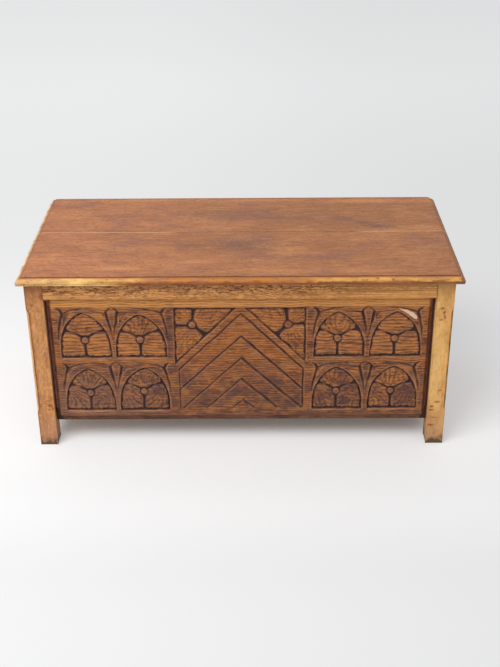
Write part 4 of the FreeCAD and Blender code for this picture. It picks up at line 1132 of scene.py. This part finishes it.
# %% Lid boards
#           inset from the full size and height above the lid's underside, from the fillet to the round
MOULDING = [(2, 0), (1.5, 0.3), (1.25, 1), (1.15, 3.4), (0.95, 4.2), (0.35, 4.7), (0.05, 5.5)]
QUIRK_INSET, QUIRK_LOW, LID_THICK = 12, 17, 19
quarter = np.linspace(0, math.pi / 2, 12)
round_part = np.stack([QUIRK_INSET * (1 - np.cos(quarter)), 5.8 + (QUIRK_LOW - 5.8) * np.sin(quarter)], -1)
crown_part = np.array([(12.05, 17.4), (12.1, 18.2), (12.3, 18.7), (12.8, 18.93), (13.6, LID_THICK)])
moulding = np.concatenate([np.array(MOULDING), round_part, crown_part])
joint_inset = np.interp(moulding[:, 1], [0, 0.35, 0.8, 18.2, 18.65, LID_THICK], [0.8, 0.2, 0, 0, 0.2, 0.7])
LID_LOW = 437
MOULDING_REACH = 20
DISH = 0.25
CORNER_ROUND = (1.5, 7)
PLANED = (3.4, 0.6)


def lid_board(node, y_low, y_high, moulded_front, nx, ny):
    """One lid board as loops up its edge, closed below and above by a grid of nx by ny squares."""
    low, high = millimetres(node)
    along_x, along_y = np.linspace(0, 1, nx + 1), np.linspace(0, 1, ny + 1)
    dent = np.zeros(len(moulding))
    dent[5:-4] = 1
    loops = []
    for (inset, height), joint, soft in zip(moulding, joint_inset, dent):
        front = inset if moulded_front else joint
        x0, x1 = low[0] + PLANED[0] + 1.2 * inset, high[0] - PLANED[1] - inset
        y0, y1 = y_low + front, y_high - joint
        run_x, run_y = (x1 - x0) * along_x[:-1], (y1 - y0) * along_y[:-1]
        loop_x = np.concatenate([x0 + run_x, np.full(ny, x1), x1 - run_x, np.full(ny, x0)])
        loop_y = np.concatenate([np.full(nx, y0), y0 + run_y, np.full(nx, y1), y1 - run_y])
        bruise = soft * 0.5 * np.clip(waver(loop_x + 1.7 * loop_y, 90, 40) - 0.3, 0, 1)
        loop_x = loop_x - np.sign(loop_x) * bruise * (np.abs(loop_x) > high[0] - MOULDING_REACH)
        loop_y = loop_y + bruise * (loop_y < low[1] + MOULDING_REACH) * moulded_front
        if not moulded_front:
            radius = np.where(loop_x < 0, *CORNER_ROUND)
            from_end = np.clip((radius - np.minimum(x1 - loop_x, loop_x - x0)) / radius, 0, 1)
            from_back = np.clip((radius - (y1 - loop_y)) / radius, 0, 1)
            over = np.maximum(np.hypot(from_end, from_back) - 1, 0) * (from_end > 0) * (from_back > 0)
            loop_x = loop_x - np.sign(loop_x) * over * from_end * radius
            loop_y = loop_y - over * from_back * radius
        loops.append(np.stack([loop_x, loop_y, np.full(len(loop_x), LID_LOW + height)], -1))
    loops = np.stack(loops)
    rows, columns = loops.shape[:2]
    points = [loops.reshape(-1, 3)]
    faces = [quads_between(rows, columns, wrap=True)]
    total = rows * columns
    for level, start in ((0, 0), (rows - 1, (rows - 1) * columns)):
        ring = start + np.arange(columns)
        number = np.zeros((nx + 1, ny + 1), int)
        number[:-1, 0] = ring[:nx]
        number[-1, :-1] = ring[nx:nx + ny]
        number[1:, -1] = ring[nx + ny:2 * nx + ny][::-1]
        number[0, 1:] = ring[2 * nx + ny:][::-1]
        inner = (nx - 1) * (ny - 1)
        number[1:-1, 1:-1] = total + np.arange(inner).reshape(nx - 1, ny - 1)
        total += inner
        (x0, y0), (x1, y1) = loops[level, :, :2].min(0), loops[level, :, :2].max(0)
        grid_x, grid_y = np.meshgrid(x0 + (x1 - x0) * along_x[1:-1], y0 + (y1 - y0) * along_y[1:-1],
                                     indexing="ij")
        grid_z = np.full(grid_x.shape, loops[level, 0, 2])
        if level:
            reach = np.minimum(np.minimum(grid_x - x0, x1 - grid_x), np.minimum(grid_y - y0, y1 - grid_y))
            grid_z = grid_z - DISH * smooth(reach / 60) * cloud(grid_x, grid_y, 90, 8)
        points.append(np.stack([grid_x, grid_y, grid_z], -1).reshape(-1, 3))
        corners = np.stack([number[:-1, :-1], number[1:, :-1], number[1:, 1:], number[:-1, 1:]], -1).reshape(-1, 4)
        faces.append(corners if level else corners[:, ::-1])
    points = np.concatenate(points)
    height = points[:, 2] - LID_LOW
    at_front = moulded_front * (points[:, 1] < low[1] + 13.2)
    # Painted shade in the quirk and under the round, taken as hollows.
    in_quirk = np.exp(-((height - 17.3) / 0.6) ** 2) * (0.35 + 0.5 * at_front)
    under_round = 0.7 * np.exp(-((height - 4.3) / 0.5) ** 2) + 0.5 * smooth((1 - height) / 0.8)
    moulded = (np.abs(points[:, 0]) > high[0] - 21) | (at_front > 0)
    # The whole moulding is marked for the moulding's colour, with its painted light and shade.
    rubbed = smooth((height - 0.4) / 0.5) * smooth((17 - height) / 2.5) * moulded
    make_piece(node + "_moulded", points, faces, "lid", "lid_oak", lid_oak, (node,), sharp=50,
               hollow=np.maximum(in_quirk, under_round) * moulded, edge=rubbed)


JOINT_Y = 17
#                 x, z, half sizes along them, strength
MOULDING_SPOTS = [(-484, 441.5, 12, 3, 0.7), (488, 442, 16, 4, 0.8), (345, 450, 5, 3, 0.9), (220, 444, 50, 3, 0.7),
                  (420, 443, 30, 2, 0.7), (496, 450, 6, 2, 0.5), (-160, 453, 4, 3, 0.6)]
#             x, y, half sizes along them, strength
LID_STAINS = [(10, -60, 110, 70, 0.6), (-120, -60, 70, 30, 0.3), (265, 98, 50, 26, 0.5),
              (345, 50, 60, 24, 0.65), (305, 75, 40, 22, 0.6), (100, 110, 120, 50, 0.35),
              (-300, 120, 120, 35, 0.3), (-50, 130, 180, 60, 0.45), (-360, -90, 100, 20, 0.2),
              (180, -140, 130, 30, 0.25)]
LID_GLOWS = [(-280, -195, 110, 22, 0.55), (300, -215, 120, 16, 0.35), (-100, -160, 60, 15, 0.3),
             (-250, 232, 200, 16, 0.4), (50, 232, 200, 14, 0.4), (330, 225, 140, 20, 0.45)]
LID_FACE, MOULDING_FACE = (2, 456, 100), (1, -250, 30)


def lid_colours(recipe, colour):
    """Redder at the left end and browner at the right, with grey and golden patches and the pale open joint."""
    x, y = recipe.place("X"), recipe.place("Y")
    drifted = recipe.frayed(x, (2, 5, 5), 0.16, 2)
    colour = recipe.mix(recipe.ramp(drifted, -0.40, 0.12, 0, 0.65), colour, (150, 98, 56))
    for shift, with_grain, across, share, paint in (
            (61, 9, 13, 0.55, (142, 94, 84)), (67, 8, 16, 0.5, (198, 134, 82)), (73, 17, 130, 0.4, (138, 88, 64)),
            (79, 20, 150, 0.35, (206, 140, 92)), (71, 120, 420, 0.65, (118, 74, 54))):
        patch = recipe.noise((with_grain, across, across), 3, 0.6, 0, (shift,) * 3)
        colour = recipe.mix(recipe.ramp(patch, 0.48, 0.68, 0, share), colour, paint)
    for stains, paint in ((LID_STAINS, (106, 78, 68)), (LID_GLOWS, (214, 146, 88))):
        colour = spotted(recipe, colour, on_face(stains, *LID_FACE), paint, 1)
    from_joint = recipe.math("ABSOLUTE", recipe.math("SUBTRACT", y, JOINT_Y / 1000))
    open_part = recipe.math("ADD", recipe.ramp(x, -0.20, -0.14, 1, 0), recipe.ramp(x, 0.27, 0.31), True)
    pale = recipe.times(recipe.ramp(from_joint, 0.0008, 0.0022, 1, 0), open_part)
    return recipe.lay(colour, (recipe.ramp(from_joint, 0.0005, 0.003, 0.35, 0), (96, 60, 42)),
                      (recipe.times(pale, 0.7), (222, 178, 140)))


def moulding_colour_and_light(recipe):
    """The rubbed colour of the moulding, with painted light and shade in it: pale at the left end, a painted
    highlight where the light falls on it, orange brown in the middle, golden at the right, darker on its right end
    face, and darker along its lower part, which is painted shade under the round, with stains and nicks."""
    x = recipe.place("X")
    spread = recipe.frayed(x, (9, 9, 30), 0.04)
    lower = recipe.frayed(recipe.place("Z"), (26,) * 3, 0.003)
    # Painted shade along the lower part of the round, from a little left of the middle to the right end.
    shade = recipe.times(recipe.ramp(lower, 0.443, 0.4485, 0.9, 0), recipe.ramp(spread, -0.33, -0.22))
    # Painted highlight on the left end face, which faces the light; the right end face is painted darker.
    ends = recipe.mix(recipe.ramp(x, -0.1, 0.1), (240, 212, 176), (124, 88, 54))
    # Painted highlight: pale yellow towards the left end.
    colour = recipe.mix(recipe.ramp(spread, -0.35, -0.22), (240, 200, 116), (185, 113, 37))
    colour = recipe.lay(colour, (recipe.ramp(spread, 0.05, 0.25), (219, 159, 77)), (shade, (124, 64, 28)),
                        (recipe.ramp(recipe.math("ABSOLUTE", x), 0.4955, 0.4995, 0, 0.95), ends))
    colour = spotted(recipe, colour, on_face(MOULDING_SPOTS, *MOULDING_FACE), (98, 62, 34), 0.6)
    nicks = recipe.ramp(recipe.noise((60, 150, 150), 3, 0.65), 0.58, 0.66)
    return recipe.mix(recipe.times(nicks, 0.7), colour, (120, 66, 34))


# The lid's worn colour is the moulding's colour, with its painted light and shade.
lid_oak = oak("lid_oak", 0, (204, 134, 90), (156, 98, 64), (104, 62, 44), 2, 0.4, 0.25, 0.12, coarse=0.12,
              coarse_scale=(30, 420), grit=0, rough=(0.36, 0.5), worn=moulding_colour_and_light, shade_and_grime=(80, 46, 26),
              tint=lid_colours, bump=0.12)
lid_board("lid_front_board", millimetres("lid_front_board")[0][1], JOINT_Y, True, 168, 40)
lid_board("lid_back_board", JOINT_Y, millimetres("lid_back_board")[1][1], False, 168, 36)

# %% [markdown]
# ## Inside
#
# Bare boards lie across the floor on two bearers, and two battens hold the lid flat. Nobody polished them, so
# they are paler and drier than the outside.

# %% Inside
bare_x, bare_y = (
    oak(name, axis, (196, 160, 118), (160, 122, 84), (110, 78, 50), shift, rough=(0.6, 0.8), worn=(206, 172, 130),
        shade_and_grime=WEAR_AND_SHADE["shade_and_grime"]) for name, axis, shift in (("bare_oak_along_x", 0, 20), ("bare_oak_along_y", 1, 24)))
for number in range(1, 8):
    carried(f"floor_board_{number}", 1, "inner_oak", bare_y, 0.8, 0.4, 30 + number, spacing=14)
for name in ("front_floor_bearer", "back_floor_bearer"):
    carried(name, 0, "inner_oak", bare_x, 0.8, 0.4, 41, spacing=14)
for name in ("lid_left_batten", "lid_right_batten"):
    coloured(name, bare_y)

# %% [markdown]
# ## Brass and steel
#
# The butt hinges are dulled brass, and the nails and screws are plain steel gone brown. Metal this old is never
# even: patches of its surface are rougher and darker, and the patches are a few millimetres wide.

# %% Hinges and fastenings
def old_metal(name, bright, dull, rough):
    """Metal with a wandering tarnish: two colours and two roughnesses share one noise."""
    recipe = Recipe(name)
    tarnish = recipe.ramp(recipe.noise((160,) * 3, 4, 0.6), 0.38, 0.62)
    recipe.feed(recipe.shader, "Base Color", recipe.mix(tarnish, bright, dull))
    recipe.feed(recipe.shader, "Roughness", recipe.ramp(tarnish, 0, 1, *rough))
    recipe.feed(recipe.shader, "Metallic", 1)
    fine = recipe.noise((900,) * 3, 2)
    raised = recipe.node("ShaderNodeBump", Height=fine, Strength=0.15, Distance=0.0004)
    recipe.feed(recipe.shader, "Normal", raised.outputs["Normal"])
    return recipe.material


brass = old_metal("old_brass", (190, 160, 96), (122, 96, 54), (0.3, 0.55))
steel = old_metal("brown_steel", (128, 120, 112), (78, 64, 54), (0.4, 0.7))
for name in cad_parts:
    if "screws" in name or "nails" in name:
        coloured(name, steel)
    elif "hinge" in name:
        coloured(name, brass)
print("metal set")
